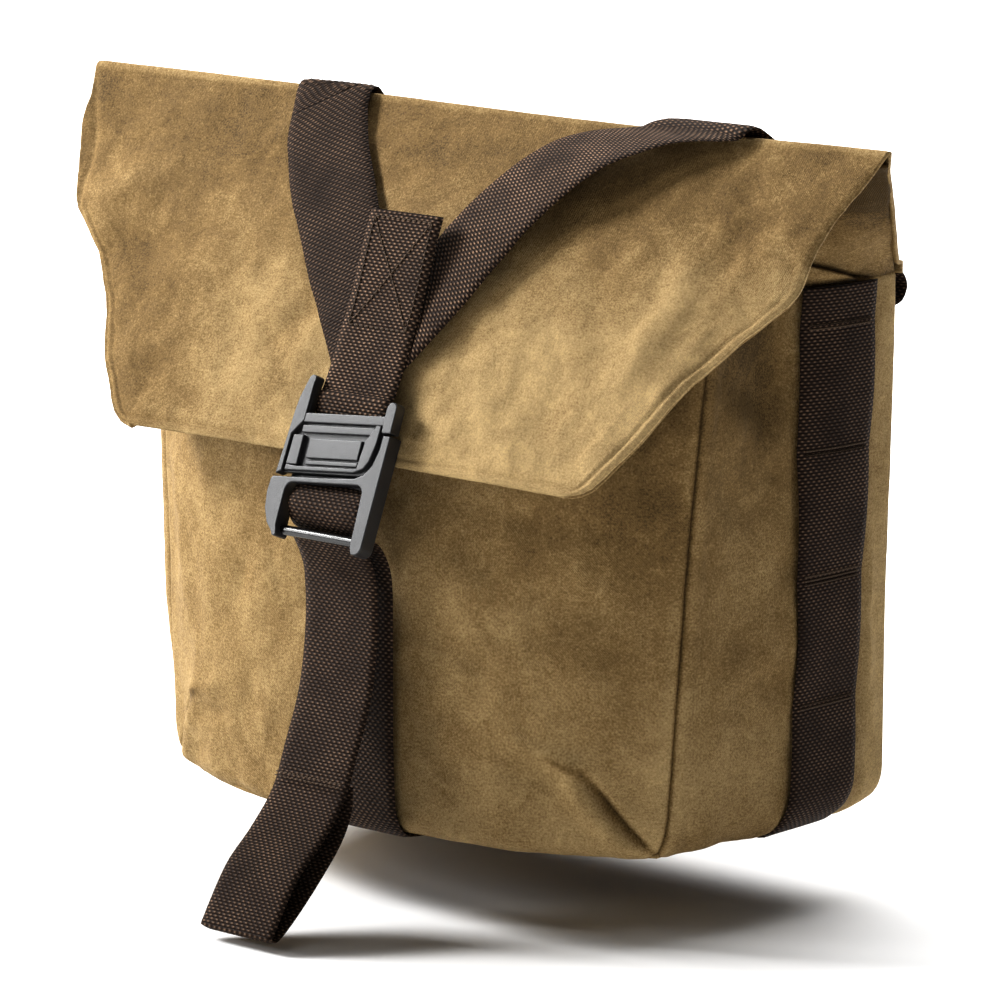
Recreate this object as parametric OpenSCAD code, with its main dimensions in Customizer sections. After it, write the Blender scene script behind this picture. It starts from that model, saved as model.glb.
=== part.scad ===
// Waxed canvas saddlebag with a fold-over flap, a Y harness and a side-sliding buckle.
// X runs to the right, Y towards the motorcycle and Z up. The flat back face is Y = 0.
// Modules count heights from the base of the bag, and hang() lowers them so that the
// origin is the middle of the back face.

/* [Body] */
// Height of the bag from its base to its rim
body_h = 220; // [210:2:230]
// Width between the front seams at the base
base_w = 264; // [250:2:280]
// Width between the front seams at the rim
rim_w = 294; // [280:2:310]
// Width of the back
back_w = 286; // [276:2:300]
// Depth from the back to the front seams at the base
depth = 121; // [115:1:130]
// How far the rim leans back from the base
rim_setback = 7; // [4:1:10]
// How far the middle of the front stands out from its seams
front_belly = 39; // [34:1:40]
// How far the side panels bow outwards
side_bow = 5; // [2:1:8]
// Thickness of the waxed canvas
canvas_t = 1.6; // [1.2:0.1:1.8]

/* [Inside] */
// Thickness of the lining
lining_t = 1; // [0.6:0.1:1.2]
// Thickness of the stiffening boards
board_t = 2; // [1.5:0.1:2.2]

/* [Flap] */
// Width of the ridge that the flap folds over
ridge_w = 414; // [400:2:424]
// Height of the ridge above the rim
ridge_rise = 57.6; // [56:0.2:59]
// Distance from the back face to the ridge
ridge_y = 84.4; // [83:0.2:86]
// Length of the flap down the front
flap_len = 151; // [146:1:156]
// Distance from the ridge to the flap's shoulders
shoulder_s = 60; // [50:1:70]
// Width of the flap at its shoulders
shoulder_w = 377; // [360:1:390]
// Width of the flap along its front edge
front_edge_w = 239; // [225:1:255]
// Slope of the flap below level, in degrees
flap_slope = 60; // [59:0.5:61]
// Radius of the fold along the ridge
fold_r = 3.2; // [3:0.1:3.4]
// Width of the turned hem
hem_w = 17; // [12:1:20]

/* [Webbing] */
// Width of the webbing
web_w = 38; // [36:1:38]
// Thickness of the webbing
web_t = 1.5; // [1.2:0.1:1.7]
// Sideways place of the tab, buckle and front strap
harness_x = 6; // [0:1:8]
// Where the left strap crosses the ridge, measured from the middle
left_cross = 69; // [60:1:80]
// Where the right strap crosses the ridge, measured from the middle
right_cross = 106; // [95:1:112]
// Distance of the side webbing's middle from the back face
side_web_y = 37; // [30:1:44]
// Spacing of the bar tacks on the side webbing
tack_pitch = 50; // [44:1:52]

/* [Buckle] */
// Width of the buckle
buckle_w = 51; // [50:0.5:54]
// Length of the closed buckle
buckle_len = 65; // [64:0.5:68]
// Slope of the buckle below level, in degrees
buckle_slope = 67.5; // [67:0.1:68]

/* [Hidden] */

canvas_colour = [0.55, 0.42, 0.24];
webbing_colour = [0.17, 0.11, 0.08];
lining_colour = [0.30, 0.30, 0.27];
plastic_colour = [0.13, 0.13, 0.14];
metal_colour = [0.62, 0.62, 0.60];
thread_colour = [0.24, 0.16, 0.11];

gap = 0.3;                                  // clearance between neighbouring layers
base_drop = body_h / 2;                     // the origin's height above the base
ridge_z = body_h + ridge_rise;              // height of the fold's axis
strap_r = fold_r + 2 * gap;                 // inner radius of the straps over the ridge
liner_inset = canvas_t + board_t + 2 * gap; // the lining's distance inside the outer face
foot = 0.06;                                // share of the height that curves in at the base
band_h = 20;                                // height of the reinforcing band at the rear rim
heights = body_h * [0, foot, 0.18, 0.34, 0.5, 0.68, 0.765, 0.83, 0.885, 0.945, 1];
across = [for (i = [-6:6]) i / 6];
along_side = [for (i = [0:5]) i / 5];

function mix(a, b, t) = a + (b - a) * t;
function flat(rows) = [for (row = rows) for (point = row) point];

// ---- Shape of the bag ----

// Half width at the front seams
function front_x(z) = lookup(z / body_h, [[0, base_w / 2 - 5], [foot, base_w / 2],
                                          [0.5, mix(base_w, rim_w, 0.4) / 2], [1, rim_w / 2]]);
// Half width at the back
function back_x(z) = lookup(z / body_h, [[0, back_w / 2 - 11], [foot, back_w / 2 - 1],
                                         [1, back_w / 2]]);
// Place of the front seams
function seam_y(z) = -mix(depth, depth - rim_setback, z / body_h);
// How far the front stands out in the middle
function belly(z) = front_belly * lookup(z / body_h, [[0, 0.9], [0.18, 0.98], [0.5, 1],
                    [0.68, 0.92], [0.765, 0.8], [0.83, 0.64], [0.885, 0.44], [1, 0.1]]);
// A point on the front, where t runs from -1 to 1 between the seams
function front_point(t, z, inset) =
    [t * (front_x(z) - inset), seam_y(z) + inset - belly(z) * (1 - pow(abs(t), 2.8)), z];
// A point on one side, where t runs from 0 at the front seam to 1 at the back
function side_point(side, t, z, inset, back_inset) =
    [side * (mix(front_x(z), back_x(z), t) - inset + 4 * side_bow * t * (1 - t)),
     mix(seam_y(z) + inset, -back_inset, t), z];
// The whole outline at one height, counted round the bag
function outline(z, inset) = concat(
    [for (t = across) front_point(t, z, inset)],
    [for (i = [1:5]) side_point(1, along_side[i], z, inset, inset)],
    [for (i = [5:-1:1]) side_point(-1, along_side[i], z, inset, inset)]);

// A closed sheet between two grids of points
module sheet(outer, inner) {
    rows = len(outer);
    cols = len(outer[0]);
    mid_row = floor((rows - 1) / 2);
    mid_col = floor((cols - 1) / 2);
    corner = outer[mid_row][mid_col];
    facing = cross(outer[mid_row][mid_col + 1] - corner, outer[mid_row + 1][mid_col] - corner)
             * (corner - inner[mid_row][mid_col]);
    function id(i, j, layer) = (layer * rows + i) * cols + j;
    quads = concat(
        [for (i = [0:rows - 2]) for (j = [0:cols - 2])
            [id(i, j, 0), id(i, j + 1, 0), id(i + 1, j + 1, 0), id(i + 1, j, 0)]],
        [for (i = [0:rows - 2]) for (j = [0:cols - 2])
            [id(i + 1, j, 1), id(i + 1, j + 1, 1), id(i, j + 1, 1), id(i, j, 1)]],
        [for (j = [0:cols - 2]) [id(0, j + 1, 0), id(0, j, 0), id(0, j, 1), id(0, j + 1, 1)]],
        [for (j = [0:cols - 2]) [id(rows - 1, j, 0), id(rows - 1, j + 1, 0),
                                 id(rows - 1, j + 1, 1), id(rows - 1, j, 1)]],
        [for (i = [0:rows - 2]) [id(i, 0, 0), id(i + 1, 0, 0), id(i + 1, 0, 1), id(i, 0, 1)]],
        [for (i = [0:rows - 2]) [id(i + 1, cols - 1, 0), id(i, cols - 1, 0),
                                 id(i, cols - 1, 1), id(i + 1, cols - 1, 1)]]);
    triangles = [for (q = quads) each [[q[0], q[1], q[2]], [q[0], q[2], q[3]]]];
    polyhedron(points = concat(flat(outer), flat(inner)),
               faces = [for (f = triangles) facing > 0 ? [f[2], f[1], f[0]] : f],
               convexity = 6);
}

// A closed solid through a stack of outlines, capped at both ends
module stack(rings) {
    n = len(rings[0]);
    last = len(rings) - 1;
    function id(i, j) = i * n + j % n;
    walls = [for (i = [0:last - 1]) for (j = [0:n - 1]) each
        [[id(i + 1, j + 1), id(i, j + 1), id(i, j)], [id(i + 1, j), id(i + 1, j + 1), id(i, j)]]];
    polyhedron(points = flat(rings),
               faces = concat(walls, [[for (j = [0:n - 1]) id(0, j)]],
                              [[for (j = [n - 1:-1:0]) id(last, j)]]),
               convexity = 6);
}

// Lowers a sub-part so that the origin is the middle of the back face
module hang() {
    translate([0, 0, -base_drop]) children();
}

// ---- Canvas body ----

module front_panel() {
    color(canvas_colour) hang() sheet(
        [for (z = heights) [for (t = across) front_point(t, z, 0)]],
        [for (z = heights) [for (t = across) front_point(t, z, canvas_t)]]);
}

module side_panel(side) {
    color(canvas_colour) hang() sheet(
        [for (z = heights) [for (t = along_side) side_point(side, t, z, 0, 0)]],
        [for (z = heights) [for (t = along_side) side_point(side, t, z, canvas_t, 0)]]);
}

// Plate in the plane of the back face, running forward from y by its thickness
module upright_plate(y, thickness) {
    translate([0, y, 0]) rotate([90, 0, 0]) linear_extrude(thickness) children();
}

// Outline of the back between two heights
module back_outline(inset, low, high) {
    bend = foot * body_h;
    levels = concat([low], low < bend ? [bend] : [], [high]);
    right = [for (z = levels) [back_x(z) - inset, z]];
    left = [for (i = [len(levels) - 1:-1:0]) [inset - back_x(levels[i]), levels[i]]];
    polygon(concat(right, left));
}

module back_panel() {
    color(canvas_colour) hang() upright_plate(0, canvas_t)
        back_outline(canvas_t, 0, body_h - band_h);
}

// Doubled band along the top of the back, which carries the mounting loops
module rear_rim_band() {
    color(canvas_colour) hang() upright_plate(0, canvas_t)
        back_outline(canvas_t, body_h - band_h, body_h);
}

module base_outline(inset) {
    polygon([for (p = outline(0, inset)) [p[0], p[1]]]);
}

module bottom_panel() {
    color(canvas_colour) hang() linear_extrude(canvas_t) base_outline(canvas_t + gap / 3);
}

module back_stiffener() {
    color(lining_colour) hang() upright_plate(-canvas_t - gap, board_t)
        back_outline(8, 6, body_h - 10);
}

module base_stiffener() {
    color(lining_colour) hang() translate([0, 0, canvas_t + gap]) linear_extrude(board_t)
        base_outline(8);
}

// Lining: one sewn tub inside the boards, open at the rim
module liner() {
    inner = liner_inset + lining_t;
    floor_z = liner_inset;
    levels = [for (z = heights) max(z, floor_z)];
    function level(i, low) = i == 0 ? low : levels[i];
    n = len(heights);
    color(lining_colour) hang() stack(concat(
        [for (i = [0:n - 1]) outline(level(i, floor_z), liner_inset)],
        [for (i = [n - 1:-1:0]) outline(level(i, floor_z + lining_t), inner)]));
}

// ---- Collar and yoke under the flap ----

yoke_run = sqrt(ridge_y * ridge_y + ridge_rise * ridge_rise);
yoke_slope = atan2(ridge_rise, ridge_y);
yoke_start = strap_r + web_t + 3 * gap;
yoke_end = yoke_run - 2;

// Places a child drawn with X across, Y back down the yoke and Z out of its face
module on_yoke() {
    translate([0, -ridge_y, ridge_z]) rotate([-yoke_slope, 0, 0]) children();
}

function yoke_x(run) = mix(ridge_w, back_w, run / yoke_run) / 2;

module rear_yoke() {
    color(canvas_colour) hang() on_yoke() translate([0, 0, fold_r - canvas_t])
        linear_extrude(canvas_t) polygon([
            [-yoke_x(yoke_start), yoke_start], [yoke_x(yoke_start), yoke_start],
            [yoke_x(yoke_end), yoke_end], [-yoke_x(yoke_end), yoke_end]]);
}

collar_rise = 17;
collar_lean = 10;

module collar_front() {
    function lip(t, up, inset) =
        front_point(t, body_h, inset + 0.02) + [0, collar_lean * up, gap + collar_rise * up];
    steps = [0, 0.5, 1];
    color(canvas_colour) hang() sheet(
        [for (up = steps) [for (t = across) lip(t * 0.97, up, 0)]],
        [for (up = steps) [for (t = across) lip(t * 0.97, up, canvas_t)]]);
}

// Folded end of the collar, drawn in to the end of the ridge
module collar_gusset(side) {
    tuck = 3;
    sag = 7;
    tip_run = 8;
    tip_fall = 6;
    tip = [side * (ridge_w / 2 - 6), -ridge_y + 2, ridge_z - 10];
    function rim_point(t) = side_point(side, t, body_h, tuck, tuck) + [0, 0, gap];
    function tip_point(t) = tip + [0, (t - 0.5) * tip_run, (0.5 - t) * tip_fall];
    function ear(t, up, inset) = mix(rim_point(t), tip_point(t), up)
        - [side * (inset + sag * 4 * up * (1 - up) * 4 * t * (1 - t)), 0, 0];
    steps = [0, 0.25, 0.5, 0.75, 0.94];
    stations = [for (i = [0:5]) mix(0.05, 0.9, i / 5)];
    color(canvas_colour) hang() sheet(
        [for (up = steps) [for (t = stations) ear(t, up, 0)]],
        [for (up = steps) [for (t = stations) ear(t, up, canvas_t)]]);
}

// ---- Webbing on the bag ----

side_t0 = 1 - (side_web_y + web_w / 2) / depth;
side_t1 = 1 - (side_web_y - web_w / 2) / depth;
side_stations = [side_t0, (side_t0 + side_t1) / 2, side_t1];

function over_side(side, t, z, lift) = side_point(side, t, z, -lift, 0);

module side_webbing(side) {
    levels = [for (z = heights) min(z, body_h - 2)];
    color(webbing_colour) hang() sheet(
        [for (z = levels) [for (t = side_stations) over_side(side, t, z, gap + web_t)]],
        [for (z = levels) [for (t = side_stations) over_side(side, t, z, gap)]]);
}

module side_bartacks(side) {
    tack_h = 2.4;
    tack_t = 0.5;
    first = body_h - 18;
    lift = web_t + 1.5 * gap;
    color(thread_colour) hang() for (i = [0:3]) {
        z = first - i * tack_pitch;
        sheet([for (up = [0, 1]) [for (t = side_stations)
                  over_side(side, t, z + up * tack_h, lift + tack_t)]],
              [for (up = [0, 1]) [for (t = side_stations)
                  over_side(side, t, z + up * tack_h, lift)]]);
    }
}

// Layers under the base: the harness legs lie on the canvas and the side webbing crosses them
leg_z = -gap / 2 - web_t;
belly_web_z = leg_z - gap / 2 - web_t;

module belly_webbing() {
    reach = side_point(1, side_stations[1], 0, 0, 0)[0];
    color(webbing_colour) hang() translate([-reach, -side_web_y - web_w / 2, belly_web_z])
        cube([2 * reach, web_w, web_t]);
}

module bottom_strap(side) {
    leg_front = -depth - front_belly * 0.78;
    leg_back = -6;
    back_at = side * 92;
    inner_edge = side > 0 ? harness_x + gap / 2 : harness_x - gap / 2;
    color(webbing_colour) hang() translate([0, 0, leg_z]) linear_extrude(web_t) polygon([
        [inner_edge, leg_front], [harness_x + side * web_w / 2, leg_front],
        [back_at + side * web_w / 2, leg_back], [back_at - side * web_w / 2, leg_back],
        [inner_edge, leg_front + 44]]);
}

// Harness strap behind the ridge, down the yoke to the back corner
module rear_strap(side, cross_x) {
    start = yoke_start + gap;
    end = yoke_end - 3;
    corner_x = back_w / 2 - web_w / 2 - 4;
    function edge(run, way) = side * (mix(cross_x, corner_x, run / end) + way * web_w / 2);
    color(webbing_colour) hang() on_yoke() translate([0, 0, fold_r + gap / 2])
        linear_extrude(web_t) polygon([[edge(start, -1), start], [edge(start, 1), start],
                                       [edge(end, 1), end], [edge(end, -1), end]]);
}

loop_depth = 17;
loop_h = 15;
loop_w = 25;

module loop_profile(inset) {
    r = loop_h / 2;
    translate([inset, -r + inset]) square([loop_depth - r - inset, loop_h - 2 * inset]);
    translate([loop_depth - r, 0]) circle(r = r - inset, $fn = 48);
}

// Folded webbing loop behind an upper back corner, open from side to side
module mount_loop(side) {
    place = side > 0 ? back_w / 2 - 3 - loop_w : 3 - back_w / 2;
    color(webbing_colour) hang() translate([place, gap / 2, body_h - loop_h / 2 - 2])
        rotate([90, 0, 90]) linear_extrude(loop_w) difference() {
            loop_profile(0);
            loop_profile(web_t);
        }
}

// ---- Flap ----

// A place on the flap: x across, s down the slope from the ridge, n out of the slope
function on_flap(x, s, n) =
    [x, -ridge_y - s * cos(flap_slope) - n * sin(flap_slope),
     ridge_z - s * sin(flap_slope) + n * cos(flap_slope)];
// Half width of the flap
function flap_x(s) = lookup(s, [[0, ridge_w / 2], [shoulder_s, shoulder_w / 2],
                                [flap_len - 6, front_edge_w / 2 + 4],
                                [flap_len, front_edge_w / 2 - 3]]);
// How far the contents push the middle of the flap out
function crown(s) = lookup(s / flap_len, [[0, 0], [0.12, 3.2], [0.36, 8.5], [0.66, 7],
                                          [0.87, 4.8], [1, 3]]);
function flap_n(t, s) = fold_r + crown(s) * (1 - t * t);

flap_lining_t = 0.7;
flap_rows = [3.6, 18, 36, shoulder_s, 78, 97, 115, 131, flap_len - 6, flap_len];

module flap_layer(from, to, trim) {
    function layer(depth_in) = [for (s = flap_rows) [for (t = across)
        on_flap(t * (flap_x(s) - trim), min(s, flap_len - trim), flap_n(t, s) - depth_in)]];
    sheet(layer(from), layer(to));
}

module flap_panel() {
    color(canvas_colour) hang() flap_layer(0, canvas_t, 0);
}

module flap_lining() {
    color(lining_colour) hang()
        flap_layer(canvas_t + gap, canvas_t + gap + flap_lining_t, hem_w + 1);
}

// Turned hem under the slanted and front edges
module flap_hem() {
    top = canvas_t + 2 * gap;
    corner_s = flap_len - 6;
    half = [[shoulder_s, 1], [mix(shoulder_s, corner_s, 0.35), 1],
            [mix(shoulder_s, corner_s, 0.7), 1], [corner_s, 1], [flap_len - 1, 1],
            [flap_len - 1, 0.66], [flap_len - 1, 0.33]];
    run = concat([for (p = half) [p[0], -p[1]]], [[flap_len - 1, 0]],
                 [for (i = [6:-1:0]) half[i]]);
    function inner_t(p) = p[1] * (1 - hem_w / flap_x(p[0]));
    function inner_s(p) = min(p[0], flap_len - hem_w);
    function band(depth_in) = [for (p = run) [
        on_flap(p[1] * (flap_x(p[0]) - 1), p[0], flap_n(p[1], p[0]) - depth_in),
        on_flap(inner_t(p) * flap_x(inner_s(p)), inner_s(p),
                flap_n(inner_t(p), inner_s(p)) - depth_in)]];
    color(canvas_colour) hang() sheet(band(top), band(top + 0.8));
}

// Rolled fold along the ridge
module flap_fold() {
    color(canvas_colour) hang() translate([-ridge_w / 2, -ridge_y, ridge_z])
        rotate([0, 90, 0]) cylinder(h = ridge_w, r = fold_r, $fn = 48);
}

// ---- Y harness ----

strap_end_s = 112;
strap_aside = 6;
tab_start = 53;
tab_end = 128;
tab_t = 2;

// Place on a strap that lies over the flap: it wraps the ridge where s is negative
function over_flap(x, s, lift) = s >= 0
    ? on_flap(x, s, fold_r + crown(s) * (1 - pow(x / flap_x(s), 2)) + 2 * gap + lift)
    : on_flap(x, -(strap_r + lift) * sin(-s), (strap_r + lift) * cos(-s));

// Strap from the ridge to the tab; stations are [s, middle x], with turns in degrees below 0
module y_strap(stations, side) {
    function edge(i, way) =
        let (a = stations[max(i - 1, 0)], b = stations[min(i + 1, len(stations) - 1)],
             slant = (b[1] - a[1]) / (max(b[0], 1) - max(a[0], 0)),
             half = web_w / 2 * min(sqrt(1 + slant * slant), 1.5))
        stations[i][1] + way * half;
    function trimmed(i, way) = stations[i][0] < 0 ? edge(i, way)
        : side < 0 ? min(edge(i, way), harness_x - gap / 2)
        : max(edge(i, way), harness_x + gap / 2);
    function layer(lift) = [for (i = [0:len(stations) - 1]) [for (k = [0:3])
        over_flap(mix(trimmed(i, -1), trimmed(i, 1), k / 3), stations[i][0], lift)]];
    color(webbing_colour) hang() sheet(layer(web_t), layer(0));
}

module y_strap_left() {
    turns = [for (a = [-100:20:-20]) [a, -left_cross]];
    run = [for (s = [0, 15, 30, 45, 60, 80, strap_end_s])
           [s, mix(-left_cross, harness_x - strap_aside, s / strap_end_s)]];
    y_strap(concat(turns, run), -1);
}

module y_strap_right() {
    turns = [for (a = [-100:20:-20]) [a, right_cross]];
    span = right_cross - harness_x - strap_aside;
    // The strap swings inwards quickly behind the ridge and then runs straight to the tab
    run = [for (p = [[0, 1], [10, 0.86], [22, 0.73], [38, 0.6], [56, 0.48], [80, 0.29],
                     [strap_end_s, 0]])
           [p[0], harness_x + strap_aside + span * p[1]]];
    y_strap(concat(turns, run), 1);
}

// ---- Buckle ----

buckle_top = [-154.1, 177.2];
face_m = 6;
// A place on the buckle's middle plane: l down its length, m out of its back face
function buckle_at(l, m) = [harness_x,
    buckle_top[0] - l * cos(buckle_slope) - m * sin(buckle_slope),
    buckle_top[1] - l * sin(buckle_slope) + m * cos(buckle_slope)];

// Places a child drawn with X across, Y up the buckle and Z out of its face
module on_buckle() {
    translate(buckle_at(0, 0)) rotate([buckle_slope, 0, 0]) children();
}

// Block across x0..x1, down l0..l1 and out m0..m1
module block(x0, x1, l0, l1, m0, m1) {
    translate([x0, -l1, m0]) cube([x1 - x0, l1 - l0, m1 - m0]);
}

arm_w = 4.6;
half_w = buckle_w / 2;
split_l = 31;            // the lower half starts here, below the swing of the flap's edge
tongue_end = 36;
window_top = 41;
bar_l = 61.5;
bar_m = 3;
bar_r = 2;
floor_t = 2;
rest_m = floor_t + 2 * gap;
magnet_w = 14;
magnet_h = 3;
magnet_x = 11;
magnet_l = 33.5;

// A strip of webbing whose middle runs through [y, z] points, lifted along its normals
function strip_layer(path, lift) = [for (i = [0:len(path) - 1])
    let (d = path[min(i + 1, len(path) - 1)] - path[max(i - 1, 0)], way = d / norm(d))
    [for (x = [-0.5, 0, 0.5])
        [harness_x + x * web_w, path[i][0] + way[1] * lift, path[i][1] - way[0] * lift]]];

module strip(path, thickness) {
    sheet(strip_layer(path, thickness / 2), strip_layer(path, -thickness / 2));
}

// The tab lies on both straps and turns over the bar of the buckle's upper half
module y_tab() {
    function seat(s) = over_flap(harness_x, s, web_t + gap / 2 + tab_t / 2);
    bar_side = buckle_at(9.8, 3.6);
    path = concat([for (s = [tab_start, 70, 88, 104, 118, tab_end]) [seat(s)[1], seat(s)[2]]],
                  [[bar_side[1], bar_side[2]]]);
    color(webbing_colour) hang() strip(path, tab_t);
}

// Box and cross of thread through the tab and both straps
module tab_stitching() {
    thread = 0.8;
    box_w = 30;
    box_l = 42;
    mid = over_flap(harness_x, tab_start + 29, web_t + tab_t + 2 * gap);
    ahead = over_flap(harness_x, tab_start + 49, 0);
    behind = over_flap(harness_x, tab_start + 9, 0);
    tilt = atan2(behind[2] - ahead[2], behind[1] - ahead[1]);
    diagonal = norm([box_w, box_l]);
    color(thread_colour) hang() translate(mid) rotate([tilt, 0, 0]) linear_extrude(0.5) {
        difference() {
            square([box_w, box_l], center = true);
            square([box_w - 2 * thread, box_l - 2 * thread], center = true);
        }
        for (turn = [-1, 1]) rotate(turn * atan2(box_l, box_w))
            square([diagonal - 3, thread], center = true);
    }
}

// Pair of bar magnets, wider by a clearance where it cuts their pockets
module magnet_pair(clearance, m0, m1) {
    for (x = [-magnet_x, magnet_x])
        block(x - magnet_w / 2 - clearance, x + magnet_w / 2 + clearance,
              magnet_l - magnet_h / 2 - clearance, magnet_l + magnet_h / 2 + clearance, m0, m1);
}

module buckle_upper() {
    left = 0.5 - half_w;
    right = half_w - 0.5;
    arm_m = face_m + 1.5;
    color(plastic_colour) hang() on_buckle() difference() {
        union() {
            block(left, left + arm_w, 0, 16, rest_m, arm_m);
            block(right - arm_w, right, 0, split_l - 2 * gap, rest_m, arm_m);
            block(left, right, 11, 15.6, rest_m, arm_m);
            block(left, right, 15, split_l - 2 * gap, rest_m, face_m + 0.6);
            block(left, right - arm_w - gap, 15, tongue_end, rest_m, face_m + 0.6);
            block(left + arm_w, right - arm_w - 2, 20, tongue_end - 3, face_m, face_m + 1.6);
        }
        magnet_pair(0.1, floor_t, rest_m + 2.3);
    }
}

module magnet_upper() {
    color(metal_colour) hang() on_buckle() magnet_pair(0, rest_m + 0.1, rest_m + 2.2);
}

module buckle_lower() {
    inner = half_w - arm_w;
    wall = tongue_end + 0.5;
    color(plastic_colour) hang() on_buckle() difference() {
        union() {
            block(2 - half_w, half_w, split_l, window_top, 0, floor_t);
            block(inner, half_w, split_l, buckle_len, 0, face_m + 1.6);
            block(-half_w, half_w, wall, window_top, 0, face_m + 1);
            block(-half_w, -inner, wall, buckle_len, 0, face_m + 1);
        }
        magnet_pair(0.1, 0.8, floor_t + 1);
        translate([1.4 - half_w, -bar_l, bar_m]) rotate([0, 90, 0])
            cylinder(h = buckle_w - 2.8, r = bar_r + 0.02, $fn = 48);
    }
}

module magnet_lower() {
    color(metal_colour) hang() on_buckle() magnet_pair(0, 0.82, floor_t - 0.1);
}

module ladder_bar() {
    color(metal_colour) hang() on_buckle() translate([1.5 - half_w, -bar_l, bar_m])
        rotate([0, 90, 0]) cylinder(h = buckle_w - 3, r = bar_r, $fn = 48);
}

// ---- Front strap and its hanging tail ----

function buckle_yz(l, m) = [buckle_at(l, m)[1], buckle_at(l, m)[2]];
front_y = -depth - front_belly + 1;

module front_strap() {
    hug = front_y - web_t / 2 - 2 * gap;
    path = [buckle_yz(window_top + 1.5, 4.2), buckle_yz(48, 3.2), buckle_yz(52.5, 0),
            buckle_yz(55.5, -4), [hug - 5.5, 117], [hug - 1, 108], [hug, 98], [hug, 40],
            [hug + 1.8, 12], [hug + 2.6, 1.5]];
    color(webbing_colour) hang() strip(path, web_t);
}

tail_path = [buckle_yz(bar_l, bar_m - bar_r - 1.5), [-171.5, 112], [-169.3, 104], [-169.2, 82],
             [-173, 58], [-181.6, 36], [-188.6, 20], [-201, 6.5], [-215.5, -6], [-229, -26]];

module tail_strap() {
    fold_from = 6;
    inner = strip_layer(tail_path, -web_t / 2);
    folded = strip_layer(tail_path, -web_t * 1.5 - 2 * gap);
    back = [for (i = [0:len(tail_path) - 1]) i < fold_from ? inner[i] : folded[i]];
    color(webbing_colour) hang() sheet(strip_layer(tail_path, web_t / 2), back);
}

// Row of thread that closes the folded end of the tail
module tail_stitching() {
    a = tail_path[5];
    b = tail_path[6];
    away = (b - a) / norm(b - a);
    mid = mix(a, b, 0.5);
    tilt = atan2(-away[1], -away[0]);
    color(thread_colour) hang() translate([harness_x, mid[0], mid[1]]) rotate([tilt, 0, 0])
        translate([-web_w / 2 + 1.5, -0.6, web_t / 2 + 0.1]) cube([web_w - 3, 1.2, 0.5]);
}

front_panel();
side_panel(-1);  // side_panel_left
side_panel(1);  // side_panel_right
back_panel();
bottom_panel();
rear_rim_band();
rear_yoke();
collar_front();
collar_gusset(-1);  // collar_gusset_left
collar_gusset(1);  // collar_gusset_right
liner();
back_stiffener();
base_stiffener();
side_webbing(-1);  // side_webbing_left
side_webbing(1);  // side_webbing_right
belly_webbing();
side_bartacks(-1);  // side_bartacks_left
side_bartacks(1);  // side_bartacks_right
rear_strap(-1, left_cross);  // rear_strap_left
rear_strap(1, right_cross);  // rear_strap_right
bottom_strap(-1);  // bottom_strap_left
bottom_strap(1);  // bottom_strap_right
mount_loop(-1);  // mount_loop_left
mount_loop(1);  // mount_loop_right
flap_panel();
flap_lining();
flap_hem();
flap_fold();
y_strap_left();
y_strap_right();
y_tab();
tab_stitching();
buckle_upper();
magnet_upper();
front_strap();
buckle_lower();
magnet_lower();
ladder_bar();
tail_strap();
tail_stitching();
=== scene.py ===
import math

import bmesh
import bpy
import numpy as np
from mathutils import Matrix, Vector, noise


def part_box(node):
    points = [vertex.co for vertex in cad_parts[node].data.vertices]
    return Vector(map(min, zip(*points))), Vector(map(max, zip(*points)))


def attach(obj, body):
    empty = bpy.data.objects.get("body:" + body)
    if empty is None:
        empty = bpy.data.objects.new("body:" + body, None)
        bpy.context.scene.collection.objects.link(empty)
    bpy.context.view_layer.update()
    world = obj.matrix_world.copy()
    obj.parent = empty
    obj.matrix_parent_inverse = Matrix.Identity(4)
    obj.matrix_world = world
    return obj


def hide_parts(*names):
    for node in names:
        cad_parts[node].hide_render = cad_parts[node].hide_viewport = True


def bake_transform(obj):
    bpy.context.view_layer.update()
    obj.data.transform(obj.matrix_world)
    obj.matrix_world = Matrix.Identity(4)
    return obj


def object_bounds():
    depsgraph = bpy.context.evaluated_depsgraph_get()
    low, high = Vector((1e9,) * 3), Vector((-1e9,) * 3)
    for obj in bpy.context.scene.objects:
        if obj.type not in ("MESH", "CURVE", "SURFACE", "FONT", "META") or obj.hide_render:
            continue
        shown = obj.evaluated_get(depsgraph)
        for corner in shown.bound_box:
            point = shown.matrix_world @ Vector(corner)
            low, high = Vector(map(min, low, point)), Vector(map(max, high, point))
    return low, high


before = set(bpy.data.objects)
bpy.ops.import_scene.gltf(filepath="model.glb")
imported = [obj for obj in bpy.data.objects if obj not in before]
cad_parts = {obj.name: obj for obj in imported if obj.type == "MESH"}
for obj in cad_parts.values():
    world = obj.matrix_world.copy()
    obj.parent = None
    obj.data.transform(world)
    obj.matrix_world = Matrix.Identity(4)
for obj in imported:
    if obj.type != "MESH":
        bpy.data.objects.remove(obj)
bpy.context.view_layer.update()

# -------- shared measures, in mm
# X runs to the right, -Y to the front. Heights count from the base of the bag, and metres()
# moves them into the shared frame.
BASE_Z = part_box("front_panel")[0][2] * 1000
H = (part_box("front_panel")[1][2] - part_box("front_panel")[0][2]) * 1000
RIDGE_Y = 0.5 * (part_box("flap_fold")[0][1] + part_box("flap_fold")[1][1]) * 1000
RIDGE_Z = 0.5 * (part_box("flap_fold")[0][2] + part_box("flap_fold")[1][2]) * 1000 - BASE_Z
FOLD_R = 0.5 * (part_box("flap_fold")[1][2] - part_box("flap_fold")[0][2]) * 1000
HX = 0.5 * (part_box("y_tab")[0][0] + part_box("y_tab")[1][0]) * 1000
DEPTH = (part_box("side_panel_right")[1][1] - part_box("side_panel_right")[0][1]) * 1000
SETBACK = 7.0  # the front seams lean back by this much up to the rim
BELLY = 39.0  # how far the front panel bulges
BOW = 5.0  # how far a side panel bulges
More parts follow.
